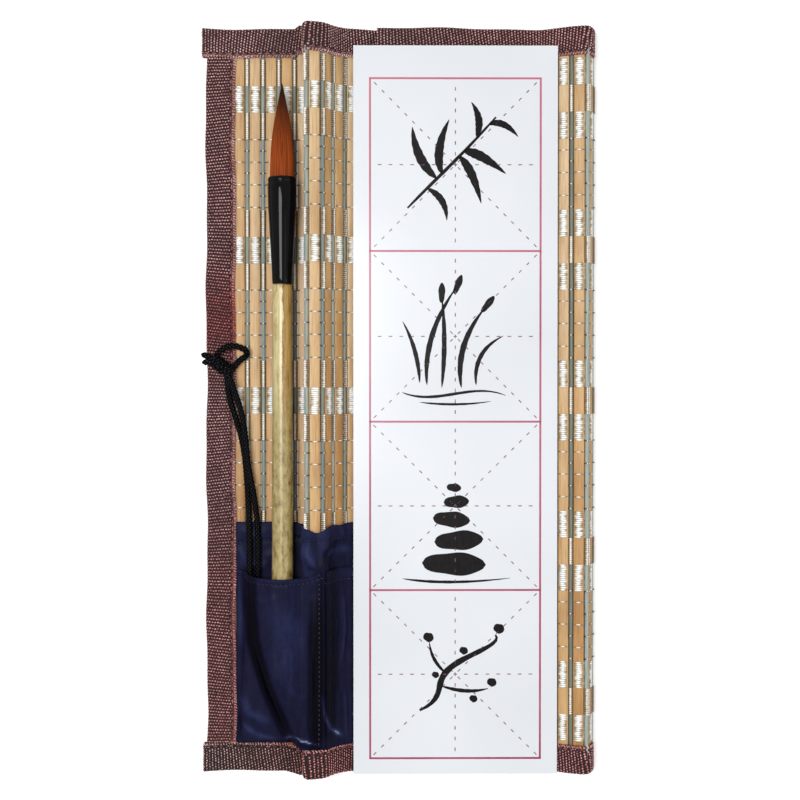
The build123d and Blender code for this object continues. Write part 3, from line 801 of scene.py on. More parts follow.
class Course:
    """A line in the plane across the sticks, read by the distance along it."""

    def __init__(self, points):
        steps = np.linalg.norm(np.diff(points, axis=0), axis=1)
        self.points = points[np.concatenate([[True], steps > 1e-7])]
        self.along = lengths_along(self.points)
        heading = np.gradient(self.points, self.along, axis=0)
        self.heading = heading / np.linalg.norm(heading, axis=1)[:, None]
        self.length = float(self.along[-1])

    def at(self, distance, height):
        """X and Z of places at some distances along the line and heights over it."""
        distance = np.asarray(distance, float)
        middle = [np.interp(distance, self.along, self.points[:, axis]) for axis in (0, 1)]
        ahead = [np.interp(distance, self.along, self.heading[:, axis]) for axis in (0, 1)]
        size = np.hypot(*ahead)
        beyond = np.where(distance < 0, distance, np.maximum(distance - self.length, 0))
        return (middle[0] + beyond * ahead[0] / size - height * ahead[1] / size,
                middle[1] + beyond * ahead[1] / size + height * ahead[0] / size)

    def where(self, x, start=0.0):
        """Distance along the line at which it first reaches an X, after a start."""
        later = np.flatnonzero((self.points[1:, 0] >= x) & (self.points[:-1, 0] < x)
                               & (self.along[1:] > start))[0]
        share = (x - self.points[later, 0]) / (self.points[later + 1, 0] - self.points[later, 0])
        return self.along[later] + share * (self.along[later + 1] - self.along[later])


mat_course = Course(rounded_line(chain))
stick_places = [float(mat_course.along[np.argmin(np.linalg.norm(mat_course.points - point, axis=1))])
                for point in chain]
print("mat along its line", round(mat_course.length / MM, 1), "mm")

# %% Profile of the tape
TAPE_PROFILE = np.array([
    (11.8, 0.98), (11.75, 1.55), (11.3, 1.74), (10.5, 1.72), (10.15, 1.5), (9.8, 1.72), (9.0, 1.8),
    (5.0, 1.84), (1.6, 1.8), (0.75, 1.62), (0.22, 1.15), (0.0, 0.45), (0.0, -0.4), (0.22, -0.98),
    (0.75, -1.4), (1.6, -1.54), (5.0, -1.56), (9.0, -1.54), (9.8, -1.46), (10.15, -1.3), (10.5, -1.44),
    (11.3, -1.46), (11.75, -1.3), (11.8, -0.9), (1.2, -0.9), (1.2, 0.98)]) * MM
TAPE_OUTSIDE = TAPE_PROFILE[:24]
SEAM_GROOVE = 10.15 * MM
OUTSIDE_STEP = 0.15 * MM
outside_along = lengths_along(TAPE_OUTSIDE)


def outside_at(distance, lift):
    """Width and height on the tape's outer face, by the distance round it, lifted off it."""
    (v, h), (v_on, h_on), (v_back, h_back) = [
        [np.interp(distance + shift, outside_along, TAPE_OUTSIDE[:, axis]) for axis in (0, 1)]
        for shift in (0, OUTSIDE_STEP, -OUTSIDE_STEP)]
    dv, dh = v_on - v_back, h_on - h_back
    size = np.maximum(np.hypot(dv, dh), 1e-9)
    return v + lift * dh / size, h - lift * dv / size


print("tape", round(outside_along[-1] / MM, 1), "mm wide before it is folded")

# %% Grains of the tape's weave
# Floats of the weave, stitches of the seams, and the woven edge: pitch, half length and half width, and rise
FLOAT_PITCH, FLOAT_HALF, FLOAT_RISE = (1.27 * MM, 1.08 * MM), (0.34 * MM, 0.45 * MM), 0.27 * MM
STITCH_PITCH, STITCH_HALF, STITCH_RISE = 3.1 * MM, (1.15 * MM, 0.2 * MM), 0.28 * MM
RIM_PITCH, RIM_HALF, RIM_RISE = 1.1 * MM, (0.23 * MM, 0.7 * MM), 0.34 * MM
RIM_PLACE, RIM_SLANT = 0.95 * MM, 0.45
GRAIN_SHAPE = np.array([(0, -1, 0), (1, -0.55, 0), (1, 0.55, 0), (0, 1, 0), (-1, 0.55, 0), (-1, -0.55, 0),
                        (0, -0.5, 1), (0, 0.5, 1)])
GRAIN_FACES = [(0, 1, 6), (1, 2, 7, 6), (2, 3, 7), (3, 4, 7), (4, 5, 6, 7), (5, 0, 6)]
GRAIN_SINK = 0.03 * MM


def grains(place, wobble, centres, half, rise, slant=0.0):
    """Mesh of long rounded grains at places along the tape and round it, and their places on its width."""
    u = (centres[:, 0, None] + GRAIN_SHAPE[None, :, 0] * half[0]).ravel()
    round_it = (centres[:, 1, None] + GRAIN_SHAPE[None, :, 1] * half[1]).ravel()
    lift = np.repeat(GRAIN_SHAPE[None, :, 2] * rise, len(centres), axis=0) - GRAIN_SINK
    u += (round_it - np.repeat(centres[:, 1], len(GRAIN_SHAPE))) * slant
    v, h = outside_at(round_it, lift.ravel())
    faces = [tuple(len(GRAIN_SHAPE) * number + corner for corner in face)
             for number in range(len(centres)) for face in GRAIN_FACES]
    return (place(u, v + wobble(u), h), faces), v


# %% Mesh and tones of a tape
FLOAT_JITTER = 0.06 * MM
# Room that is left free of floats round the tape, and of the woven edge's grains along it
FLOAT_ROOM, RIM_ROOM = (0.6 * MM, 0.4 * MM), (0.5 * MM, 0.3 * MM)
# Reach of the seam's groove to each side, on the ground and over the floats
GROOVE_REACH, SUNK_REACH = 0.2 * MM, 0.5 * MM
# Tone of the ground, its change in the groove of the seam, which is painted shade, and its change on the
# selvedge beyond it
GROUND_TONE, GROOVE_PAINTED_SHADE, SELVEDGE_CHANGE = 0.25, -0.35, 0.12
SELVEDGE = 10.4 * MM
# Tones of the floats, stitches and edge, and what is left of a float's tone at its sides and in the groove,
# where it is painted shade
FLOAT_TONES, STITCH_TONES, RIM_TONES = (0.72, 1.0), (0.5, 0.75), (0.65, 0.95)
FLOAT_SIDE_SHADE, FLOAT_GROOVE_SHADE = 0.42, 0.3


def tape_mesh(place, start, end, station, wobble, lean):
    """Mesh and tones of a tape. place turns length, width and height into a point."""
    count = max(3, int((end - start) / station) + 1)
    lengths = np.linspace(start, end, count)
    v = np.tile(TAPE_PROFILE[:, 0], count) + np.repeat(wobble(lengths), len(TAPE_PROFILE))
    band = place(np.repeat(lengths, len(TAPE_PROFILE)), v, np.tile(TAPE_PROFILE[:, 1], count))
    around = outside_along[-1]
    floats = np.array([(column * FLOAT_PITCH[0], row + (column % 2) * FLOAT_PITCH[1] / 2)
                       for column in np.arange(math.ceil(start / FLOAT_PITCH[0]), end / FLOAT_PITCH[0])
                       for row in np.arange(FLOAT_ROOM[0], around - FLOAT_ROOM[1], FLOAT_PITCH[1])])
    floats += chance.normal(0, FLOAT_JITTER, floats.shape)
    floats[:, 0] += lean(floats[:, 0]) * (floats[:, 1] - around / 2)
    seams = [np.interp(-SEAM_GROOVE, -TAPE_OUTSIDE[:10, 0], outside_along[:10]),
             np.interp(SEAM_GROOVE, TAPE_OUTSIDE[14:, 0], outside_along[14:])]
    stitches = np.array([(along, seam) for seam in seams
                         for along in np.arange(start + STITCH_PITCH / 2, end, STITCH_PITCH)])
    rims = np.array([(along, rim) for rim in (RIM_PLACE, around - RIM_PLACE)
                     for along in np.arange(start + RIM_ROOM[0], end - RIM_ROOM[1], RIM_PITCH)])
    float_mesh, float_v = grains(place, wobble, floats, FLOAT_HALF, FLOAT_RISE)
    mesh = joined([(band, tube_faces(count, len(TAPE_PROFILE))), float_mesh,
                   grains(place, wobble, stitches, STITCH_HALF, STITCH_RISE)[0],
                   grains(place, wobble, rims, RIM_HALF, RIM_RISE, RIM_SLANT)[0]])
    in_groove = np.abs(TAPE_PROFILE[:, 0] - SEAM_GROOVE) < GROOVE_REACH
    beyond = TAPE_PROFILE[:, 0] > SELVEDGE
    band_tone = GROUND_TONE + np.tile(in_groove * GROOVE_PAINTED_SHADE + beyond * SELVEDGE_CHANGE, count)
    float_tone, stitch_tone, rim_tone = [
        np.repeat(chance.uniform(*ends, len(centres)), len(GRAIN_SHAPE))
        for ends, centres in ((FLOAT_TONES, floats), (STITCH_TONES, stitches), (RIM_TONES, rims))]
    # Painted shade at the floats' sides and in the seam's groove
    float_tone *= np.tile([FLOAT_SIDE_SHADE] * 6 + [1.0] * 2, len(floats))
    float_tone[np.abs(float_v - SEAM_GROOVE) < SUNK_REACH] = FLOAT_GROOVE_SHADE
    return mesh, np.concatenate([band_tone, float_tone, stitch_tone, rim_tone])


# %% Finish of the tape
tape_finish = Finish("plum_tape", roughness=0.75, specular=0.3, slot="woven_tape")
tape_tone = tape_finish.ramp(tape_finish.attribute("tone"), (0.0, 16, 6, 8), (0.25, 42, 12, 18),
                             (0.5, 140, 88, 88), (0.75, 224, 184, 176), (1.0, 255, 244, 236))
tape_red = tape_finish.ramp(tape_finish.attribute("red"), (0.0, *WHITE), (1.0, 255, 166, 172))
tape_cloud = tape_finish.ramp(tape_finish.noise(90, 3), (0.35, 200, 190, 190), (0.65, *WHITE))
tape_finish.colour(tape_finish.over(0.8, tape_finish.over(0.9, tape_tone, tape_red), tape_cloud))
tape_finish.bump(tape_finish.noise(3000), 0.1 * MM, 0.7)

# %% Places and drifts of the tapes
TAPE_OUTER_Y = 152.2 * MM
HINGE_REACH = 2.2 * MM
RIDGE_X = -41.5 * MM
# The tape's edge drifts in two slow waves: size, pace and shift
DRIFT_WAVES = ((0.3 * MM, 95, 0.7), (0.16 * MM, 231, 0.0))


def end_place(side):
    """Places on the tape over the slats' ends, at the top (1) or the bottom (-1)."""
    def place(u, v, h):
        x, z = mat_course.at(u, h)
        return np.stack([x, side * (TAPE_OUTER_Y - v), z], axis=1)
    return place


def calm(u):
    """A slow uneven drift of the tape's edge."""
    return sum(size * np.sin(u * pace + shift) for size, pace, shift in DRIFT_WAVES)


def leaning(start, end, most):
    """How far the rows of the weave lean at a place: nothing at the tape's ends, and each way between."""
    return lambda u: most * np.sin(2 * TURN * (u - start) / (end - start))


def pulled_out(start_x, reach):
    """Drift of an end tape that is also pulled outwards before the ridge, where it rises from the table."""
    foot = [mat_course.where(start_x), mat_course.where(RIDGE_X), stick_places[6], stick_places[8] - 1 * MM]
    return lambda u: calm(u) - np.interp(u, foot, [0, reach, reach, 0])


def across(made, first, second, stick):
    """Bends a piece over the stick that its two bodies turn on."""
    ends = []
    for shift in (-HINGE_REACH, HINGE_REACH):
        x, z = mat_course.at(stick_places[stick] + shift, 0)
        ends.append((float(x), 0, float(z)))
    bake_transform(made, first, second, start=ends[0], end=ends[1])


# %% Tapes over the top and bottom ends, in pieces that bend across one joint each
TAPE_STATION = 0.6 * MM
END_LEAN = 0.16
# The bottom tape is darker in part: how much more contrast it has there, and how far its tone falls
DARK_CONTRAST, DARK_FALL = 0.8, 0.14


def cut_between(first, second):
    """Place along the mat halfway between two sticks."""
    return (stick_places[first] + stick_places[second]) / 2


TAPE_JOINTS = [("pocket_flap", "mat_base", 11), ("mat_base", "fold_step_1", 26),
               ("fold_step_1", "fold_step_2", 27), ("fold_step_2", "fold_slope", 28),
               ("fold_slope", "cover", 31)]
TAPE_START, TAPE_BEYOND = -5.2 * MM, 2.2 * MM
TAPE_CUTS = [TAPE_START, cut_between(18, 19), cut_between(26, 27), cut_between(27, 28),
             cut_between(29, 30), float(mat_course.length) + TAPE_BEYOND]
# For each edge: its side, its drift, how red and how dark it is across the mat, and what its pieces replace
END_TAPES = {
    "top": (1, pulled_out(-43.2 * MM, 1.4 * MM), ((-10, 50), (0.0, 0.25)), ((0, 1), (0, 0)),
            [["flap_top_tape", "base_top_tape"], ["fold_tapes_1"], ["fold_tapes_2"], ["fold_tapes_3"],
             ["cover_top_tape"]]),
    "bottom": (-1, pulled_out(-47.5 * MM, 1.8 * MM), ((-76, -38, 0, 80), (0.12, 0.72, 0.6, 0.45)),
               ((-55, -30, 0), (1.0, 0.45, 0.2)),
               [["flap_bottom_tape", "base_bottom_tape"], [], [], [], ["cover_bottom_tape"]])}

for edge, (side, drift, redness, darkness, nodes) in END_TAPES.items():
    for number, joint in enumerate(TAPE_JOINTS):
        mesh, tones = tape_mesh(end_place(side), *TAPE_CUTS[number:number + 2], TAPE_STATION, drift,
                                leaning(TAPE_CUTS[0], TAPE_CUTS[-1], END_LEAN))
        x = mesh[0][:, 0] / MM
        tones = tones + np.interp(x, *darkness) * ((tones - 0.5) * DARK_CONTRAST - DARK_FALL)
        made = piece(f"{edge}_tape_{number + 1}", mesh, None, tape_finish, nodes[number], smooth=False,
                     tone=tones, red=np.interp(x, *redness))
        across(made, *joint)
        print(edge, "tape", number + 1, "has", len(mesh[1]), "faces")

# %% Tapes along the mat's two long edges
LONG_TAPE_END, LONG_STATION = 140.6 * MM, 4 * MM
LONG_LEAN = 0.14
# Middle and reach of a worn red patch, and the redness that grows towards the bottom
RED_MIDDLE, RED_REACH, RED_MOST = 34 * MM, 16 * MM, 0.9
RED_FROM, RED_OVER, RED_LIMITS = -30 * MM, 90 * MM, (0.15, 0.42)


def long_place(edge_x, level):
    """Places on a straight tape over a long edge of the mat."""
    return lambda u, v, h: np.stack([edge_x + v, u, level + h], axis=1)


for name, node, body, edge_x, level in (
        ("left_tape", "left_end_tape", "pocket_flap", -79.3 * MM, 1.8 * MM),
        ("hidden_tape", "cover_end_tape", "cover", -9.2 * MM, 5.7 * MM)):
    mesh, tones = tape_mesh(long_place(edge_x, level), -LONG_TAPE_END, LONG_TAPE_END, LONG_STATION, calm,
                            leaning(-LONG_TAPE_END, LONG_TAPE_END, LONG_LEAN))
    y = mesh[0][:, 1]
    red = (RED_MOST * np.exp(-((y - RED_MIDDLE) / RED_REACH) ** 2)
           + np.clip((RED_FROM - y) / RED_OVER, *RED_LIMITS))
    piece(name, mesh, body, tape_finish, [node], smooth=False, tone=tones, red=red)
    print(name, "has", len(mesh[1]), "faces")

# %% [markdown]
# Navy satin lines the lower part. One sheet lies on the slats and over the ridge, a flat pocket is sewn on
# it beside the ridge, and the brush pocket stands round the brush. Satin is thin and keeps creases, so each
# sheet is a fine grid with creases raised along lines, and a thin closed edge. Its sheen and the shade in its
# folds are painted into its tone.

# %% Satin finish, and the thread of its stitches
satin_finish = Finish("navy_satin", roughness=0.36, specular=0.03, slot="navy_satin")
# The satin's tone ramp holds its painted shade, dark in the folds, and its painted sheen, light on the
# creases.
satin_painted_ramp = satin_finish.ramp(satin_finish.attribute("tone"), (0.0, 4, 3, 12), (0.22, 12, 11, 30),
                               (0.5, 27, 27, 52), (0.75, 47, 53, 90), (1.0, 150, 162, 190))
satin_shade = satin_finish.ramp(satin_finish.noise(260, 5, 0.7, (1, 0.5, 1)), (0.3, 190, 190, 200),
                                (0.65, *WHITE))
satin_finish.colour(satin_finish.over(0.9, satin_painted_ramp, satin_shade))
satin_finish.bump(satin_finish.noise(5200, 2, 0.5, (1, 0.2, 1)), 0.03 * MM, 0.4)
satin_finish.surface.inputs["Anisotropic"].default_value = 0.4

stitch_finish = Finish("navy_stitching", roughness=0.4, specular=0.4, slot="navy_satin")
stitch_finish.colour(stitch_finish.ramp(stitch_finish.noise(260), (0.45, 10, 10, 24), (0.66, 20, 21, 42),
                                        (0.78, 122, 126, 152)))
stitch_finish.bump(stitch_finish.noise(2500), 0.04 * MM, 0.5)

# %% Where painted shade and painted highlights lie on the satin
# Each entry, a band of painted shade or painted highlight: points of a line in millimetres, its half width,
# and the change of tone
FLANK_LINE = [(-61.4, -70), (-61.4, -81), (-60.2, -97), (-58.8, -103.3), (-54.2, -117.7), (-48.1, -132.1),
              (-46, -137)]
LOW_CREASES = [[(-47.3, -138.2), (-45.6, -136.7), (-43.5, -136.3)],
               [(-42.7, -135.8), (-39, -136.4), (-32.9, -138.5)]]
SATIN_PAINTED_BANDS = [
    (FLANK_LINE, 2.9, -0.55),
    ([(-29.8, -66), (-29.9, -96), (-30.1, -116), (-30.8, -130), (-31.5, -138)], 4.3, -0.5),
    ([(-34.9, -82), (-35.3, -96), (-35.3, -116), (-35.7, -130), (-34.5, -138.6)], 2.5, -0.44),
    (LOW_CREASES[0], 0.8, 0.5), (LOW_CREASES[1], 0.5, 0.55),
    ([(-42.6, -137.6), (-39, -138.6), (-36, -139.6)], 0.8, -0.3),
    ([(-32.1, -118.8), (-30.9, -126.4), (-28.5, -132.4), (-24.4, -136)], 0.8, 0.62),
    ([(-64.6, -131.6), (-59.7, -135.4), (-51.5, -138.5)], 0.9, 0.22),
    ([(-66, -121), (-62, -127), (-55, -131)], 1.6, 0.12),
    ([(-66, -76), (-65, -88), (-66, -98)], 1.6, 0.12), ([(-66, -128), (-65.6, -134)], 1.0, -0.2),
    ([(-49, -84), (-44, -96), (-50, -110)], 6.0, 0.08), ([(-66, -59), (-64, -64), (-65, -68)], 1.6, 0.1),
    ([(-25.6, -56.5), (-30.4, -60.5), (-32.8, -66)], 0.8, -0.3),
    ([(-39, -58), (-38, -62), (-36, -65)], 1.8, 0.14), ([(-27, -60.4), (-22, -60)], 1.5, 0.12),
    ([(-44.6, -50), (-44.2, -58), (-44.6, -69)], 1.2, -0.35),
    ([(-40, -62), (-37, -67), (-33, -68)], 0.7, -0.16)]
SATIN_MIDDLE = 0.5
# A raised place gets a painted highlight, lighter by this much for each step of height, up to so many steps,
# and a low place painted shade
PAINTED_LIGHT_BY_RISE, RISE_STEP, RISE_STEPS = 0.07, 0.6 * MM, 1.5
# Tones wider than this have a flatter middle and a steeper edge
BROAD_TONE, BROAD_POWER, TONE_FADING = 1.9, 4, 0.3

# %% Creases, and the painted shade and highlights that go with them
# The fading at a crease's ends stops short of nothing
FADE_FROM, FADE_TO = 0.02, 0.98


def crease(x, y, line, width, rise, power=2, fading=0.6):
    """Height of a crease along a line of points, fading out at its ends. All in metres."""
    line = np.array(line) * MM
    best, share = np.full(np.shape(x), np.inf), np.zeros(np.shape(x))
    for number, (start, end) in enumerate(zip(line, line[1:])):
        run = end - start
        inside = np.clip(((x - start[0]) * run[0] + (y - start[1]) * run[1]) / (run @ run), 0, 1)
        far = np.hypot(x - start[0] - inside * run[0], y - start[1] - inside * run[1])
        share = np.where(far < best, (number + inside) / (len(line) - 1), share)
        best = np.minimum(far, best)
    fade = np.sin(math.pi * np.clip(share, FADE_FROM, FADE_TO)) ** fading
    return rise * MM * fade * np.exp(-(best / (width * MM)) ** power)


def satin_painted_tones(x, y, rise):
    """Tone of the satin at each place, with its painted shade and highlights, twice over for a sheet's two
    faces.
    """
    tone = SATIN_MIDDLE + PAINTED_LIGHT_BY_RISE * np.clip(rise / RISE_STEP, -RISE_STEPS, RISE_STEPS)
    for line, width, change in SATIN_PAINTED_BANDS:
        power = BROAD_POWER if width > BROAD_TONE else 2
        tone = tone + crease(x, y, line, width, change / MM, power, TONE_FADING)
    return np.tile(np.clip(tone, 0, 1).ravel(), 2)


# %% Helpers for sheets
SATIN_THICKNESS = 0.32 * MM


def line_on(grid, levels):
    """Points of a line that runs across a sheet, at a level along y for each of its columns."""
    return np.array([[np.interp(level, grid[:, column, 1], grid[:, column, axis]) for axis in range(3)]
                     for column, level in enumerate(levels)])


def cloth_mesh(upper):
    """Closed thin sheet under a grid of points."""
    rows, columns = upper.shape[:2]
    down = np.cross(np.gradient(upper, axis=1), np.gradient(upper, axis=0))
    down /= np.maximum(np.linalg.norm(down, axis=2), 1e-12)[:, :, None]
    if down[:, :, 2].mean() > 0:
        down = -down
    points = np.concatenate([upper.reshape(-1, 3), (upper + down * SATIN_THICKNESS).reshape(-1, 3)])
    below = rows * columns
    faces = []
    for row in range(rows - 1):
        for column in range(columns - 1):
            first = row * columns + column
            around = (first, first + 1, first + columns + 1, first + columns)
            faces += [around, tuple(below + corner for corner in around[::-1])]
    border = ([(0, column) for column in range(columns)] + [(row, columns - 1) for row in range(1, rows)]
              + [(rows - 1, column) for column in range(columns - 2, -1, -1)]
              + [(row, 0) for row in range(rows - 2, 0, -1)])
    corners = [row * columns + column for row, column in border]
    faces += [(second, first, below + first, below + second)
              for first, second in zip(corners, corners[1:] + corners[:1])]
    return points, faces


# %% Stitches, and a sheet that is made with them
SATIN_STITCH_PITCH, SATIN_STITCH_HALF, SATIN_STITCH_RISE = 1.9 * MM, (0.62 * MM, 0.17 * MM), 0.22 * MM


def sewn(seam):
    """Mesh of small stitches along a line of points that lies on a sheet."""
    line = evenly(seam, SATIN_STITCH_PITCH)
    parts = []
    for place, ahead in zip(line, headings(line)):
        side = np.cross(ahead, (0, 0, 1))
        side /= max(np.linalg.norm(side), 1e-6)
        up = np.cross(side, ahead)
        on, out = ahead * SATIN_STITCH_HALF[0], side * SATIN_STITCH_HALF[1]
        ring = [place - on, place - out, place + on, place + out, place + up * SATIN_STITCH_RISE]
        parts.append((np.array(ring), [(0, 1, 4), (1, 2, 4), (2, 3, 4), (3, 0, 4)]))
    return joined(parts)


def satin_pieces(name, stitch_name, grid, rise, seams, body, replaced, flat):
    """A sheet of satin with its stitches."""
    sheet = piece(name, cloth_mesh(grid), body, satin_finish, replaced,
                  tone=satin_painted_tones(grid[:, :, 0], grid[:, :, 1], rise))
    stitches = piece(stitch_name, joined([sewn(seam) for seam in seams]), body, stitch_finish)
    if body is None:
        for made in (sheet, stitches):
            across(made, "pocket_flap", "mat_base", 11)
    print(name, [round(side / MM, 1) for side in flat])


# %% Lining and side pocket, which follow the chain to the ridge's foot
SATIN_LOW_Y = -140.3 * MM
RIDGE_CREST = (8, 9)
CREST_ROOM, CREST_REACH = 0.75 * MM, 1.8 * MM
RIPPLE_PACES = (520, 160, 300)
satin_end = mat_course.where(-9.9 * MM, stick_places[11])


def hem(above, rise, groove, start=0.4, width=0.5):
    """Height of a hem, by the distance above its stitches in millimetres: double cloth with a sewn groove."""
    return rise * MM * (above > start) - groove * MM * np.exp(-(above / width) ** 2)


def satin_on_mat(name, stitch_name, start, counts, lift, top_y, top_of, creases, hem_of, hem_form, ripple,
                 replaced):
    """A sheet of satin that lies on the chain, from a place on its left to the ridge's foot."""
    u, share = np.meshgrid(np.linspace(start, satin_end, counts[0]), np.linspace(0, 1, counts[1]))
    flat_x, _ = mat_course.at(u, 0)
    top = top_y + top_of(flat_x / MM) * MM
    y = SATIN_LOW_Y + (top - SATIN_LOW_Y) * share
    raised = np.full(flat_x.shape, lift)
    for stick in RIDGE_CREST:
        raised += CREST_ROOM * np.exp(-((u - stick_places[stick]) / CREST_REACH) ** 2)
    for line, width, rise in creases:
        raised += crease(flat_x, y, line, width, rise)
    hem_level = hem_of(flat_x / MM, top / MM)
    raised += hem(y / MM - hem_level, *hem_form)
    raised += ripple * np.sin(u * RIPPLE_PACES[0] + y * RIPPLE_PACES[1]) * np.sin(y * RIPPLE_PACES[2])
    x, z = mat_course.at(u, raised)
    grid = np.stack([x, y, z], axis=2)
    satin_pieces(name, stitch_name, grid, raised - lift, [line_on(grid, hem_level[0] * MM)], None, replaced,
                 (float(satin_end - start), float(top_y - SATIN_LOW_Y)))


# %% Lining
LINING_TOP_DIPS = [(-40.5, -0.7, 2.0), (-34.4, -3.4, 3.4), (-26, -0.9, 3.0)]
LINING_HEM = ([-66.5, -55, -46.4, -38.4, -19.9], [-58.1, -57.0, -56.5, -55.7, -55.6])
LINING_CREASES = [
    ([(-66, -52), (-60, -55), (-54, -53)], 1.3, 0.5), ([(-39, -57), (-37.6, -62), (-34, -68)], 1.3, 0.8),
    ([(-28, -58), (-31, -62), (-33, -68)], 1.0, 0.7), ([(-46, -58), (-50, -62), (-56, -64)], 1.6, 0.5),
    ([(-26, -50), (-24, -55)], 1.0, 0.5), ([(-65, -66), (-58, -68), (-53, -66)], 1.2, 0.4),
    ([(-41, -51), (-38, -54)], 0.9, 0.5), ([(-26, -59), (-20, -61)], 1.2, 0.6),
    ([(-66, -60), (-63, -66)], 1.3, 0.5)]


def lining_dips(x):
    """How far the lining's upper edge sags at a place across the mat, in millimetres."""
    return sum(dip * np.exp(-((x - dip_x) / reach) ** 2) for dip_x, dip, reach in LINING_TOP_DIPS)


satin_on_mat("satin_lining", "lining_stitches", start=mat_course.where(-67.4 * MM), counts=(130, 110),
             lift=1.62 * MM, top_y=-49.4 * MM, top_of=lining_dips, creases=LINING_CREASES,
             hem_of=lambda x, top: np.interp(x, *LINING_HEM), hem_form=(0.28, 0.25, 0.3), ripple=0.1 * MM,
             replaced=["lining", "base_lining"])

# %% Side pocket
SIDE_CREASES = [
    ([(-30, -78), (-28, -90), (-29, -104)], 1.0, 0.5), ([(-25, -76), (-24, -92), (-26, -110)], 0.9, 0.6),
    ([(-29, -112), (-27, -124), (-28, -138)], 1.1, 0.5), ([(-24, -118), (-23, -138)], 0.8, 0.5)]
SIDE_HEM = 4.9


def side_slope(x):
    """How much higher the side pocket's mouth is away from its seam, in millimetres."""
    return 0.6 * np.clip((x + 31) / 4, 0, 1)


satin_on_mat("satin_side_pocket", "side_pocket_stitches", start=mat_course.where(-31.8 * MM, stick_places[8]),
             counts=(60, 80), lift=2.2 * MM, top_y=-68.2 * MM, top_of=side_slope, creases=SIDE_CREASES,
             hem_of=lambda x, top: top - SIDE_HEM, hem_form=(0.25, 0.18), ripple=0.0,
             replaced=["side_pocket", "base_pocket"])

# %% [markdown]
# The brush pocket has a shape that was worked out when the solids were made: it rises from the lining, goes
# over the handle and up the ridge. Rays sent down on that solid give the heights of its face. They are then
# spread evenly across the cloth, smoothed, and creased where the photograph shows creases.

# %% Heights of the brush pocket's solid
POCKET_STEP = 0.2 * MM
POCKET_ROWS, POCKET_COLUMNS = 96, 110
POCKET_SIDES, MOUTH_INSET = (0.1 * MM, 0.05 * MM), 0.02 * MM
RAY_START = 50 * MM
POCKET_MOUTH = np.array([
    (-67.2, -68.7), (-64.1, -69), (-62.8, -69.4), (-61.8, -70.6), (-58, -71.4), (-52.2, -71.6),
    (-47.7, -71.8), (-43.7, -71.3), (-38.9, -70.6), (-35.2, -69.7), (-32.8, -68.8), (-30.8, -68.4)])
pocket_node = frame["nodes"]["brush_pocket"].data
pocket_tree = BVHTree.FromPolygons([vertex.co for vertex in pocket_node.vertices],
                                   [tuple(face.vertices) for face in pocket_node.polygons])
pocket_low, pocket_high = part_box("brush_pocket")


def pocket_height(x, y):
    """Height of the solid pocket's face, or None beside it."""
    hit = pocket_tree.ray_cast(Vector((x, y, RAY_START)), Vector((0, 0, -1)))[0]
    return None if hit is None else hit.z


pocket_columns = np.arange(pocket_low[0] + POCKET_SIDES[0], pocket_high[0] - POCKET_SIDES[1], POCKET_STEP)
solid_mouth = []
for x in pocket_columns:
    y = pocket_high[1] - MOUTH_INSET
    while pocket_height(x, y) is None and y > pocket_low[1]:
        y -= POCKET_STEP
    solid_mouth.append(y)
mouth_line = np.interp(pocket_columns / MM, *POCKET_MOUTH.T) * MM
print(len(pocket_columns), "columns over the pocket's solid")


# %% Cloth of the brush pocket, spread over those heights
# Its rows stay this far inside the solid at each end, and at both ends together
ROW_INSET, BOTH_INSETS = 0.05 * MM, 0.1 * MM
SMOOTHINGS = 4


def pocket_row(share):
    """One row of the pocket's cloth at a share of its height, at even steps of cloth, and its width."""
    ys = pocket_low[1] + ROW_INSET + (mouth_line - pocket_low[1] - BOTH_INSETS) * share
    heights = [pocket_height(x, min(y, edge)) for x, y, edge in zip(pocket_columns, ys, solid_mouth)]
    known = [number for number, height in enumerate(heights) if height is not None]
    zs = np.interp(range(len(heights)), known, [heights[number] for number in known])
    along = np.concatenate([[0], np.cumsum(np.hypot(np.diff(pocket_columns), np.diff(zs)))])
    places = np.linspace(0, along[-1], POCKET_COLUMNS)
    row = np.stack([np.interp(places, along, values) for values in (pocket_columns, ys, zs)], axis=1)
    return row, along[-1]


spread_rows = [pocket_row(share) for share in np.linspace(0, 1, POCKET_ROWS)]
pocket_grid = np.array([row for row, _ in spread_rows])
pocket_width = float(np.mean([length for _, length in spread_rows]))
for _ in range(SMOOTHINGS):
    below, above, before, after = (pocket_grid[:-2, 1:-1], pocket_grid[2:, 1:-1], pocket_grid[1:-1, :-2],
                                   pocket_grid[1:-1, 2:])
    pocket_grid[1:-1, 1:-1] = pocket_grid[1:-1, 1:-1] * 0.5 + (below + above + before + after) / 4 * 0.5
print("brush pocket", round(pocket_width / MM, 1), "mm of cloth across")

# %% Brush pocket
POCKET_CREASES = [
    ([(-44, -76), (-45.5, -92), (-44.8, -110), (-46, -126)], 1.0, 0.5),
    ([(-37, -98), (-36.4, -116), (-37.6, -134)], 1.1, -0.7),
    (LOW_CREASES[0], 0.8, 0.6), (LOW_CREASES[1], 0.6, 0.7),
    ([(-65, -120), (-60, -128), (-52, -132)], 1.4, 0.5), ([(-66, -134), (-58, -138), (-50, -137)], 1.2, 0.6),
    ([(-52, -78), (-49.6, -86), (-50.6, -96)], 1.4, 0.35),
    ([(-34.4, -76), (-34, -100), (-35, -128)], 0.9, 0.5),
    ([(-62, -78), (-57, -80.5), (-51, -79.5)], 0.9, 0.35),
    ([(-49, -112), (-43, -118), (-38, -119)], 1.2, 0.4)]
POCKET_HEM = 2.3
CORD_SIDE = [(-64.3, -68), (-64.0, -98), (-64.5, -111), (-65.2, -121), (-65.2, -141)]
# The cloth falls in along the brush, and lies low left of the cord: a line, its shift, a share and a level
FALLS = [(FLANK_LINE, 0.4 * MM, 0.85, 7.35 * MM), (CORD_SIDE, 0, 1, 4.2 * MM)]
FALL_WIDTH = 1.1 * MM
SEAM_COLUMN, SEAM_ROWS, HEM_START = POCKET_COLUMNS - 4, slice(3, -1), 16

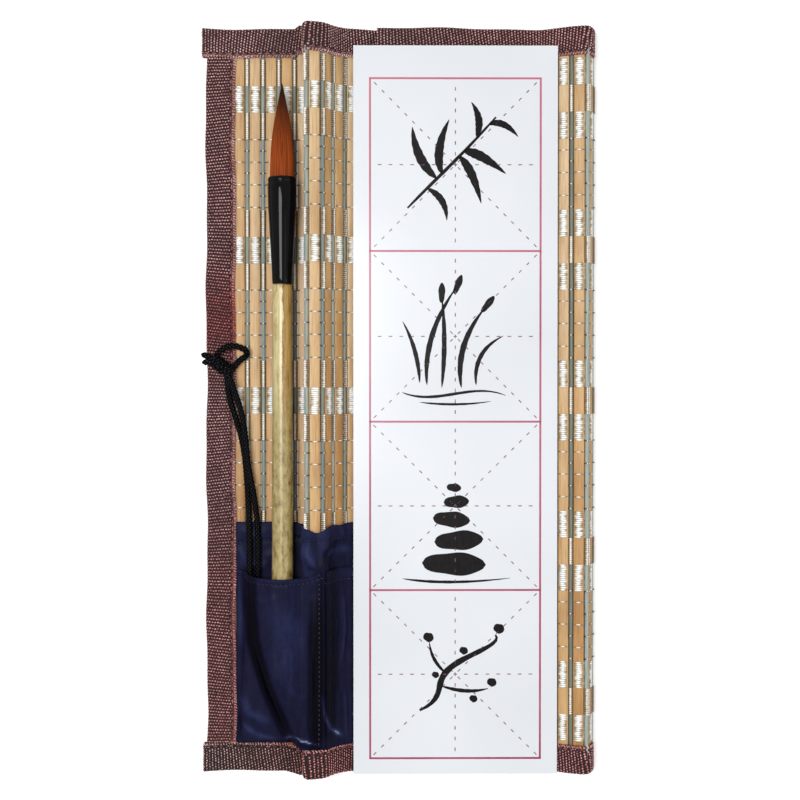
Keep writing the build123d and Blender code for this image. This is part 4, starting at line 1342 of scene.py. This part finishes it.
pocket_x, pocket_y = pocket_grid[:, :, 0], pocket_grid[:, :, 1]
pocket_rise = np.zeros(pocket_x.shape)
for line, width, rise in POCKET_CREASES:
    pocket_rise += crease(pocket_x, pocket_y, line, width, rise)
mouth_down = (pocket_y[-1][None, :] - pocket_y) / MM
pocket_rise += hem(POCKET_HEM - mouth_down, 0.22, 0.16, width=0.45)
for line, shift, fall, level in FALLS:
    line_x = np.interp(-pocket_y / MM, [-y for _, y in line], [x for x, _ in line]) * MM
    left = 0.5 * (1 - np.tanh((pocket_x - line_x + shift) / FALL_WIDTH))
    pocket_grid[:, :, 2] -= fall * left * np.clip(pocket_grid[:, :, 2] - level, 0, None)
pocket_grid[:, :, 2] += pocket_rise
pocket_seams = [line_on(pocket_grid, pocket_y[-1] - POCKET_HEM * MM)[HEM_START:],
                pocket_grid[SEAM_ROWS, SEAM_COLUMN]]
satin_pieces("satin_brush_pocket", "brush_pocket_stitches", pocket_grid, pocket_rise, pocket_seams,
             "pocket_flap", ["brush_pocket"],
             (pocket_width, float(pocket_y[-1].mean() - pocket_y[0].mean())))

# %% [markdown]
# The writing brush has three pieces. The handle is a thin bamboo cane with faint mottling, the collar is
# black lacquer that flares towards the hair, and the tuft is a bundle of fine hairs drawn to a point. The
# cane's right half is darker, partly a real stain and partly painted shade. Handle and collar are turned about
# the brush's line. The tuft is modelled hair by hair over a slim core.

# %% Turned pieces of the brush
BRUSH_X, BRUSH_Z = -48.1 * MM, 9.15 * MM
TURN_SIDES = 64


def turned(outline, sides=TURN_SIDES):
    """Mesh of an outline, in radius and place, turned about the brush's line."""
    outline = np.array(outline)
    turns = np.tile(np.linspace(0, TURN, sides, endpoint=False), len(outline))
    radius = np.repeat(outline[:, 0], sides) * MM
    y = np.repeat(outline[:, 1], sides) * MM
    points = np.stack([BRUSH_X + radius * np.cos(turns), y, BRUSH_Z + radius * np.sin(turns)], axis=1)
    return points, tube_faces(len(outline), sides)


# %% Handle
CANE_LOW, CANE_LENGTH = -110, 157.6
CANE_STATIONS = (-106, 45.6, 60)
CANE_RADIUS, CANE_TAPER, CANE_UNEVEN, CANE_PACE = 4.45, 0.45, 0.03, 0.35
# The pattern of the cane's lower part comes in below this place, over this length
LOWER_FROM, LOWER_OVER, LOWER_MOST = 14 * MM, 36 * MM, 0.92
# The cane's right half is darker and browner, partly a real stain and partly painted shade on the side away
# from the lamp: how steeply that changes across the cane, and where
STAIN_AND_SHADE_SLOPE, STAIN_AND_SHADE_SHIFT = 0.9, 0.12

handle_outline = [(0.02, -110.0), (2.2, -109.9), (3.9, -109.5), (4.35, -108.8), (4.45, -107.9)]
for place in np.linspace(*CANE_STATIONS):
    taper = CANE_TAPER * ((place - CANE_LOW) / CANE_LENGTH)
    handle_outline.append((CANE_RADIUS - taper + CANE_UNEVEN * math.sin(place * CANE_PACE), place))
handle_outline += [(4.0, 47.2), (2.55, 47.3), (2.55, 58.4), (2.3, 58.6), (0.02, 58.6)]

cane = Finish("brush_cane", roughness=0.32, specular=0.5, slot="brush_bamboo")
cane_grain = cane.noise(1500, 4, 0.6, (1, 0.06, 1))
cane_spots = cane.noise(420, 5, 0.7, (1, 0.22, 1))
cane_veins = cane.noise(620, 5, 0.7, (1, 0.45, 1))
cane_tone = cane.ramp(cane_grain, (0.3, 178, 160, 104), (0.5, 204, 190, 138), (0.75, 222, 210, 164))
cane_mottle = cane.ramp(cane_spots, (0.52, *WHITE), (0.62, 196, 166, 122), (0.78, 120, 84, 56))
# Stain and painted shade on the cane's right half
stain_edge = cane.math("ADD", cane.attribute("stain"), cane.math("MULTIPLY", cane.math(
    "SUBTRACT", cane_spots, 0.5), STAIN_AND_SHADE_SLOPE))
cane_stain = cane.ramp(stain_edge, (0.36, *WHITE), (0.47, 150, 104, 58), (0.53, 206, 172, 118),
                       (0.9, 214, 184, 134))
cane_upper = cane.over(0.95, cane.over(0.6, cane_tone, cane_mottle), cane_stain)
cane_lower = cane.ramp(cane_veins, (0.34, 98, 71, 33), (0.42, 138, 115, 64), (0.52, 160, 144, 90),
                       (0.75, 186, 172, 117))
cane.colour(cane.over(cane.attribute("lower"), cane_upper, cane_lower, "MIX"))
cane.bump(cane_grain, 0.05 * MM, 0.5)

handle_mesh = turned(handle_outline)
round_share = (handle_mesh[0][:, 0] - BRUSH_X) / (CANE_RADIUS * MM)
piece("brush_cane", handle_mesh, "brush", cane, ["brush_handle"],
      stain=np.clip(0.5 + STAIN_AND_SHADE_SLOPE * (round_share - STAIN_AND_SHADE_SHIFT), 0.05, 0.95),
      lower=np.clip((LOWER_FROM - handle_mesh[0][:, 1]) / LOWER_OVER, 0, LOWER_MOST))
print("handle with", len(handle_mesh[1]), "faces")

# %% Collar
collar_outline = [
    (2.6, 47.65), (3.8, 47.6), (4.02, 47.75), (4.1, 48.1), (4.18, 51), (4.32, 54.5), (4.55, 58.5), (4.82, 63),
    (5.1, 68), (5.36, 72.5), (5.6, 76.5), (5.77, 80), (5.87, 83.4), (5.9, 86), (5.9, 88.2), (5.74, 88.5),
    (5.72, 88.8), (5.86, 89.1), (5.82, 90.0), (5.6, 90.6), (5.2, 90.8), (4.95, 90.7), (4.85, 90.3),
    (4.85, 86), (2.6, 85.9)]
lacquer = Finish("black_lacquer", roughness=0.05, specular=0.085, slot="black_lacquer")
lacquer_cloud = lacquer.noise(260, 3, 0.5, (1, 0.2, 1))
lacquer.colour(lacquer.ramp(lacquer_cloud, (0.3, 6, 5, 7), (0.8, 14, 13, 15)))
lacquer.bump(lacquer_cloud, 0.03 * MM, 0.3)
piece("brush_collar", turned(collar_outline), "brush", lacquer, ["brush_ferrule"])
print("collar", round(2 * max(radius for radius, _ in collar_outline), 1), "mm wide")

# %% Shape of the tuft, and of one hair
TUFT_START, TUFT_TIP = 86.5, 128.8
TUFT_PROFILE = [(0.0, 4.72), (0.12, 4.78), (0.25, 4.7), (0.4, 4.35), (0.55, 3.65), (0.7, 2.6), (0.82, 1.6),
                (0.92, 0.75), (1.0, 0.06)]
HAIR_STATIONS = 11
HAIR_THICKNESS, HAIR_TAPER = 0.13 * MM, 0.75
HAIR_CORNERS = (0, 2.094, 4.189)
# Hairs follow each other round the tuft by this turn, which never lines them up
HAIR_TURN = 2.39996
# Two hairs in three may lie deeper in the tuft. Those that reach its face end at different places.
DEEP_REACH, FACE_REACH, FROM_FACE = (0.8, 1.0), (0.93, 1.02), 0.9
LONGEST, SHORTER, ENDS_APART = 0.997, 0.2, 0.03
# How much hairs differ in turn, in drift, in the waves of that drift, and in tone
TURN_APART, DRIFT_APART, WAVE_SIZE, TONE_APART = 0.03, 0.05, 0.06, 0.05


def tuft_radius(share):
    """Radius of the tuft, by the share of its length."""
    return np.interp(share, *zip(*TUFT_PROFILE))


def hair(number):
    """Mesh of one hair, and the share of the tuft's length at each of its points."""
    turn = number * HAIR_TURN + chance.normal(0, TURN_APART)
    reach = chance.uniform(*DEEP_REACH) if number % 3 else chance.uniform(*FACE_REACH)
    last = min(LONGEST, 1 - SHORTER * (1 - chance.uniform(0, 1) ** 2) * (reach > FROM_FACE)
               - chance.uniform(0, ENDS_APART))
    places = np.linspace(0, last, HAIR_STATIONS)
    drift = chance.normal(0, DRIFT_APART) + WAVE_SIZE * np.sin(
        places * chance.uniform(2, 5) + chance.uniform(0, 6))
    radius = (tuft_radius(places) * reach + 0.02) * MM
    angle = turn + drift * (0.3 + places)
    line = np.stack([BRUSH_X + radius * np.cos(angle), (TUFT_START + places * (TUFT_TIP - TUFT_START)) * MM,
                     BRUSH_Z + radius * np.sin(angle)], axis=1)
    side, up = cross_directions(line)
    thick = HAIR_THICKNESS * (1 - HAIR_TAPER * places / last)
    corners = np.stack([line + (side * math.cos(bend) + up * math.sin(bend)) * thick[:, None]
                        for bend in HAIR_CORNERS], axis=1)
    shares = np.repeat(places, len(HAIR_CORNERS)) + chance.normal(0, TONE_APART)
    return (corners.reshape(-1, 3), tube_faces(HAIR_STATIONS, len(HAIR_CORNERS))), shares


# %% Hair of the brush, over a slim core
HAIR_COUNT = 900
CORE_SIDES, CORE_RINGS, CORE_END = 32, 24, 0.97
CORE_SINK, CORE_LEAST = 0.25, 0.05

core_places = np.linspace(0, CORE_END, CORE_RINGS)
core = turned([(max(CORE_LEAST, tuft_radius(place) - CORE_SINK),
                TUFT_START + place * (TUFT_TIP - TUFT_START)) for place in core_places], CORE_SIDES)
hairs = [(core, np.repeat(core_places, CORE_SIDES))] + [hair(number) for number in range(HAIR_COUNT)]
hair_finish = Finish("brown_hair", roughness=0.45, specular=0.12, slot="brown_hair")
hair_finish.colour(hair_finish.ramp(
    hair_finish.attribute("along"), (0.0, 136, 60, 20), (0.25, 166, 78, 26), (0.5, 150, 70, 26),
    (0.75, 104, 50, 26), (0.97, 40, 24, 18)))
hair_finish.bump(hair_finish.noise(4200, 2, 0.5, (1, 0.05, 1)), 0.05 * MM, 0.5)
hair_mesh = joined([mesh for mesh, _ in hairs])
piece("brush_hair", hair_mesh, "brush", hair_finish, ["brush_tuft"],
      along=np.clip(np.concatenate([shares for _, shares in hairs]), 0, 1))
print(len(hair_mesh[1]), "faces of hair")

# %% [markdown]
# The card has four practice squares in one frame, with dashed guides across and along the diagonals, and an
# ink drawing in each square. Ink lies in the paper's gloss, so each mark is a very thin flat piece just over
# the card. The drawings are plain ones: leaves on a twig, reeds, pebbles, and a branch with buds.

# %% Card
CARD_THICKNESS = 0.5 * MM
INK_LIFT = 0.035 * MM
card_low, card_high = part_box("practice_card")
card_rise = (card_high[2] - card_low[2] - CARD_THICKNESS) / (card_high[0] - card_low[0])

card_finish = Finish("gloss_card", roughness=0.2, specular=0.4)
card_finish.colour(card_finish.ramp(card_finish.noise(14), (0.3, 216, 219, 224), (0.7, 224, 227, 231)))
card_finish.bump(card_finish.noise(900), 0.01 * MM, 0.3)
card_materials = frame["nodes"]["practice_card"].data.materials
card_materials.clear()
card_materials.append(card_finish.material)
print("card rises", round((card_high[2] - card_low[2]) / MM, 1), "mm across")

# %% Marks on the card's face
marks = {"frame": [], "guide": [], "ink": []}


def on_card(across, down):
    """Point on the card's face, by millimetres from its left and top edges."""
    x = card_low[0] + across * MM
    z = card_low[2] + CARD_THICKNESS + (x - card_low[0]) * card_rise + INK_LIFT
    return (x, card_high[1] - down * MM, z)


def ribbon(kind, points, halves):
    """A flat mark along a line of points, with its half width at each."""
    points = np.array(points, float)
    along = headings(points)
    side = np.stack([-along[:, 1], along[:, 0]], axis=1) * np.array(halves)[:, None]
    count = len(points)
    faces = [(step, step + 1, count + step + 1, count + step) for step in range(count - 1)]
    marks[kind].append((np.array([on_card(*rim) for rim in (*(points + side), *(points - side))]), faces))


# %% Frame and guides of the card
SQUARE_LEFT, SQUARE_RIGHT = 6.8, 76.2
SQUARE_LINES = [13.3, 83.4, 152.9, 221.7, 290.6]
LINE_HALF = 0.41
DASH, DASH_PITCH, DASH_HALF = 1.5, 4.4, 0.21


def dashed(start, end):
    """A dashed guide."""
    start, end = np.array(start), np.array(end)
    length = np.linalg.norm(end - start)
    along = (end - start) / length
    count = int(length / DASH_PITCH)
    slack = (length - (count - 1) * DASH_PITCH - DASH) / 2
    for number in range(count):
        first = start + along * (slack + number * DASH_PITCH)
        ribbon("guide", [first, first + along * DASH], [DASH_HALF, DASH_HALF])


for top, bottom in zip(SQUARE_LINES, SQUARE_LINES[1:]):
    middle, level = (SQUARE_LEFT + SQUARE_RIGHT) / 2, (top + bottom) / 2
    dashed((SQUARE_LEFT, top), (SQUARE_RIGHT, bottom))
    dashed((SQUARE_LEFT, bottom), (SQUARE_RIGHT, top))
    dashed((middle, top), (middle, bottom))
    dashed((SQUARE_LEFT, level), (SQUARE_RIGHT, level))
frame_lines = [((SQUARE_LEFT - LINE_HALF, y), (SQUARE_RIGHT + LINE_HALF, y)) for y in SQUARE_LINES]
frame_lines += [((x, SQUARE_LINES[0]), (x, SQUARE_LINES[-1])) for x in (SQUARE_LEFT, SQUARE_RIGHT)]
for ends in frame_lines:
    ribbon("frame", ends, [LINE_HALF, LINE_HALF])
print(len(marks["guide"]), "dashes in", len(SQUARE_LINES) - 1, "squares")

# %% Strokes and pebbles of ink
STROKE_POINTS, PEBBLE_POINTS = 26, 24
# How rough the ink's edge is, and how fast that changes
STROKE_ROUGH, PEBBLE_ROUGH = (0.06, 41), (0.08, 5)
STROKE_POWER = 0.8
PEBBLE_LEAST = 0.0004


def stroke(points, widest, blunt=0.15):
    """A brush stroke: a smooth line through three or more points that swells and thins."""
    points = np.array(points, float)
    shares = np.linspace(0, 1, STROKE_POINTS)
    spots = np.linspace(0, 1, len(points))
    curve = np.stack([np.polyval(np.polyfit(spots, points[:, axis], len(points) - 1), shares)
                      for axis in (0, 1)], axis=1)
    swell = blunt + (1 - blunt) * np.sin(math.pi * shares ** STROKE_POWER) ** STROKE_POWER
    rough = 1 + STROKE_ROUGH[0] * np.sin(shares * STROKE_ROUGH[1] + points[0, 0])
    ribbon("ink", curve, widest * swell * rough)


def pebble(centre, wide, high, lean=0.0):
    """A rounded patch of ink."""
    shares = np.linspace(-1, 1, PEBBLE_POINTS)
    line = [(centre[0] + wide * share * math.cos(lean), centre[1] + wide * share * math.sin(lean))
            for share in shares]
    rough = 1 + PEBBLE_ROUGH[0] * np.sin(shares * PEBBLE_ROUGH[1])
    ribbon("ink", line, high * np.sqrt(np.clip(1 - shares ** 2, PEBBLE_LEAST, 1)) * rough)


# %% Ink drawings
DRAWINGS = [
    # A twig with long leaves
    (stroke, [(22, 66), (34, 54), (45, 43), (58, 29)], 0.7, 0.5),
    (stroke, [(34, 54), (27, 45), (24, 33)], 1.9, 0.05), (stroke, [(36, 52), (35, 42), (39, 30)], 1.8, 0.05),
    (stroke, [(45, 43), (52, 45), (62, 52)], 2.0, 0.05), (stroke, [(43, 45), (48, 52), (52, 64)], 1.8, 0.05),
    (stroke, [(50, 37), (51, 30), (48, 23)], 1.5, 0.05), (stroke, [(55, 32), (61, 32), (67, 37)], 1.4, 0.05),
    (stroke, [(30, 58), (36, 63), (38, 71)], 1.4, 0.05),
    # Reeds in water
    (stroke, [(30, 138), (32, 118), (42, 98)], 1.1, 0.1),
    (stroke, [(36, 139), (37, 120), (36, 102)], 1.0, 0.1),
    (stroke, [(44, 139), (45, 122), (54, 106)], 1.2, 0.1),
    (stroke, [(50, 138), (52, 126), (61, 118)], 0.9, 0.1),
    (stroke, [(27, 137), (25, 124), (20, 112)], 0.9, 0.1), (pebble, (42.6, 97), 4.2, 1.35, -1.2),
    (pebble, (54.8, 105), 4.2, 1.35, -0.9), (pebble, (36, 100.4), 4.2, 1.35, -1.55),
    (stroke, [(20, 141), (34, 142.6), (48, 140.6), (62, 142.2)], 0.6, 0.2),
    (stroke, [(27, 145), (42, 145.8), (56, 144.6)], 0.5, 0.1),
    # Pebbles, one on another
    (pebble, (41, 211), 13, 4.6, 0.03), (pebble, (43, 201.4), 10, 3.9, -0.06),
    (pebble, (40, 192.8), 7.6, 3.2, 0.08), (pebble, (42, 185.6), 5.2, 2.5, -0.05),
    (pebble, (41, 179.8), 3.0, 1.7, 0.1), (stroke, [(20, 217), (40, 218.4), (64, 216.8)], 0.6, 0.1),
    # A bent branch with buds
    (stroke, [(27, 271), (35, 262), (39, 254), (51, 247), (58, 240)], 1.3, 0.3),
    (stroke, [(36, 261), (46, 263), (55, 262)], 0.8), (stroke, [(38, 256), (33, 250), (31, 243)], 0.7)]
BUDS = [((56.5, 259.5), 2.0), ((30.6, 241), 2.2), ((45, 246.5), 1.8), ((59.4, 237.5), 2.3),
        ((49, 266.2), 1.7), ((33.5, 256.4), 1.5)]
BUD_HEIGHT, BUD_LEAN = 0.85, 0.4
for draw, *form in DRAWINGS + [(pebble, centre, size, size * BUD_HEIGHT, BUD_LEAN) for centre, size in BUDS]:
    draw(*form)
print(len(marks["ink"]), "strokes and patches of ink")

# %% Inks
# The frame's red fades towards the bottom of the card, by this much a metre
FRAME_FADE = -2.6

frame_ink = Finish("crimson_ink", roughness=0.25, slot="gloss_card")
frame_y = frame_ink.node("ShaderNodeSeparateXYZ", Vector=frame_ink.place()).outputs["Y"]
frame_fade = frame_ink.math("ADD", frame_ink.math("MULTIPLY", frame_y, FRAME_FADE), 0.5)
frame_ink.colour(frame_ink.over(
    0.25, frame_ink.ramp(frame_fade, (0.1, 192, 104, 124), (0.9, 150, 38, 84)),
    frame_ink.ramp(frame_ink.noise(50, 3), (0.3, 140, 46, 80), (0.7, 214, 132, 152)), "MIX"))
guide_ink = Finish("pale_guide_ink", roughness=0.25, slot="gloss_card")
guide_ink.colour(guide_ink.ramp(guide_ink.noise(300), (0.3, 104, 58, 86), (0.7, 154, 112, 132)))
black_ink = Finish("black_ink", roughness=0.3, specular=0.1, slot="gloss_card")
black_ink.colour(black_ink.ramp(black_ink.noise(700, 4, 0.7, (1, 0.35, 1)), (0.35, 10, 8, 10),
                                (0.7, 26, 22, 24), (0.85, 70, 64, 68)))
for kind, finish in (("frame", frame_ink), ("guide", guide_ink), ("ink", black_ink)):
    piece(f"card_{kind}_marks", joined(marks[kind]), "card", finish, smooth=False)
    print(len(marks[kind]), "marks of", kind)
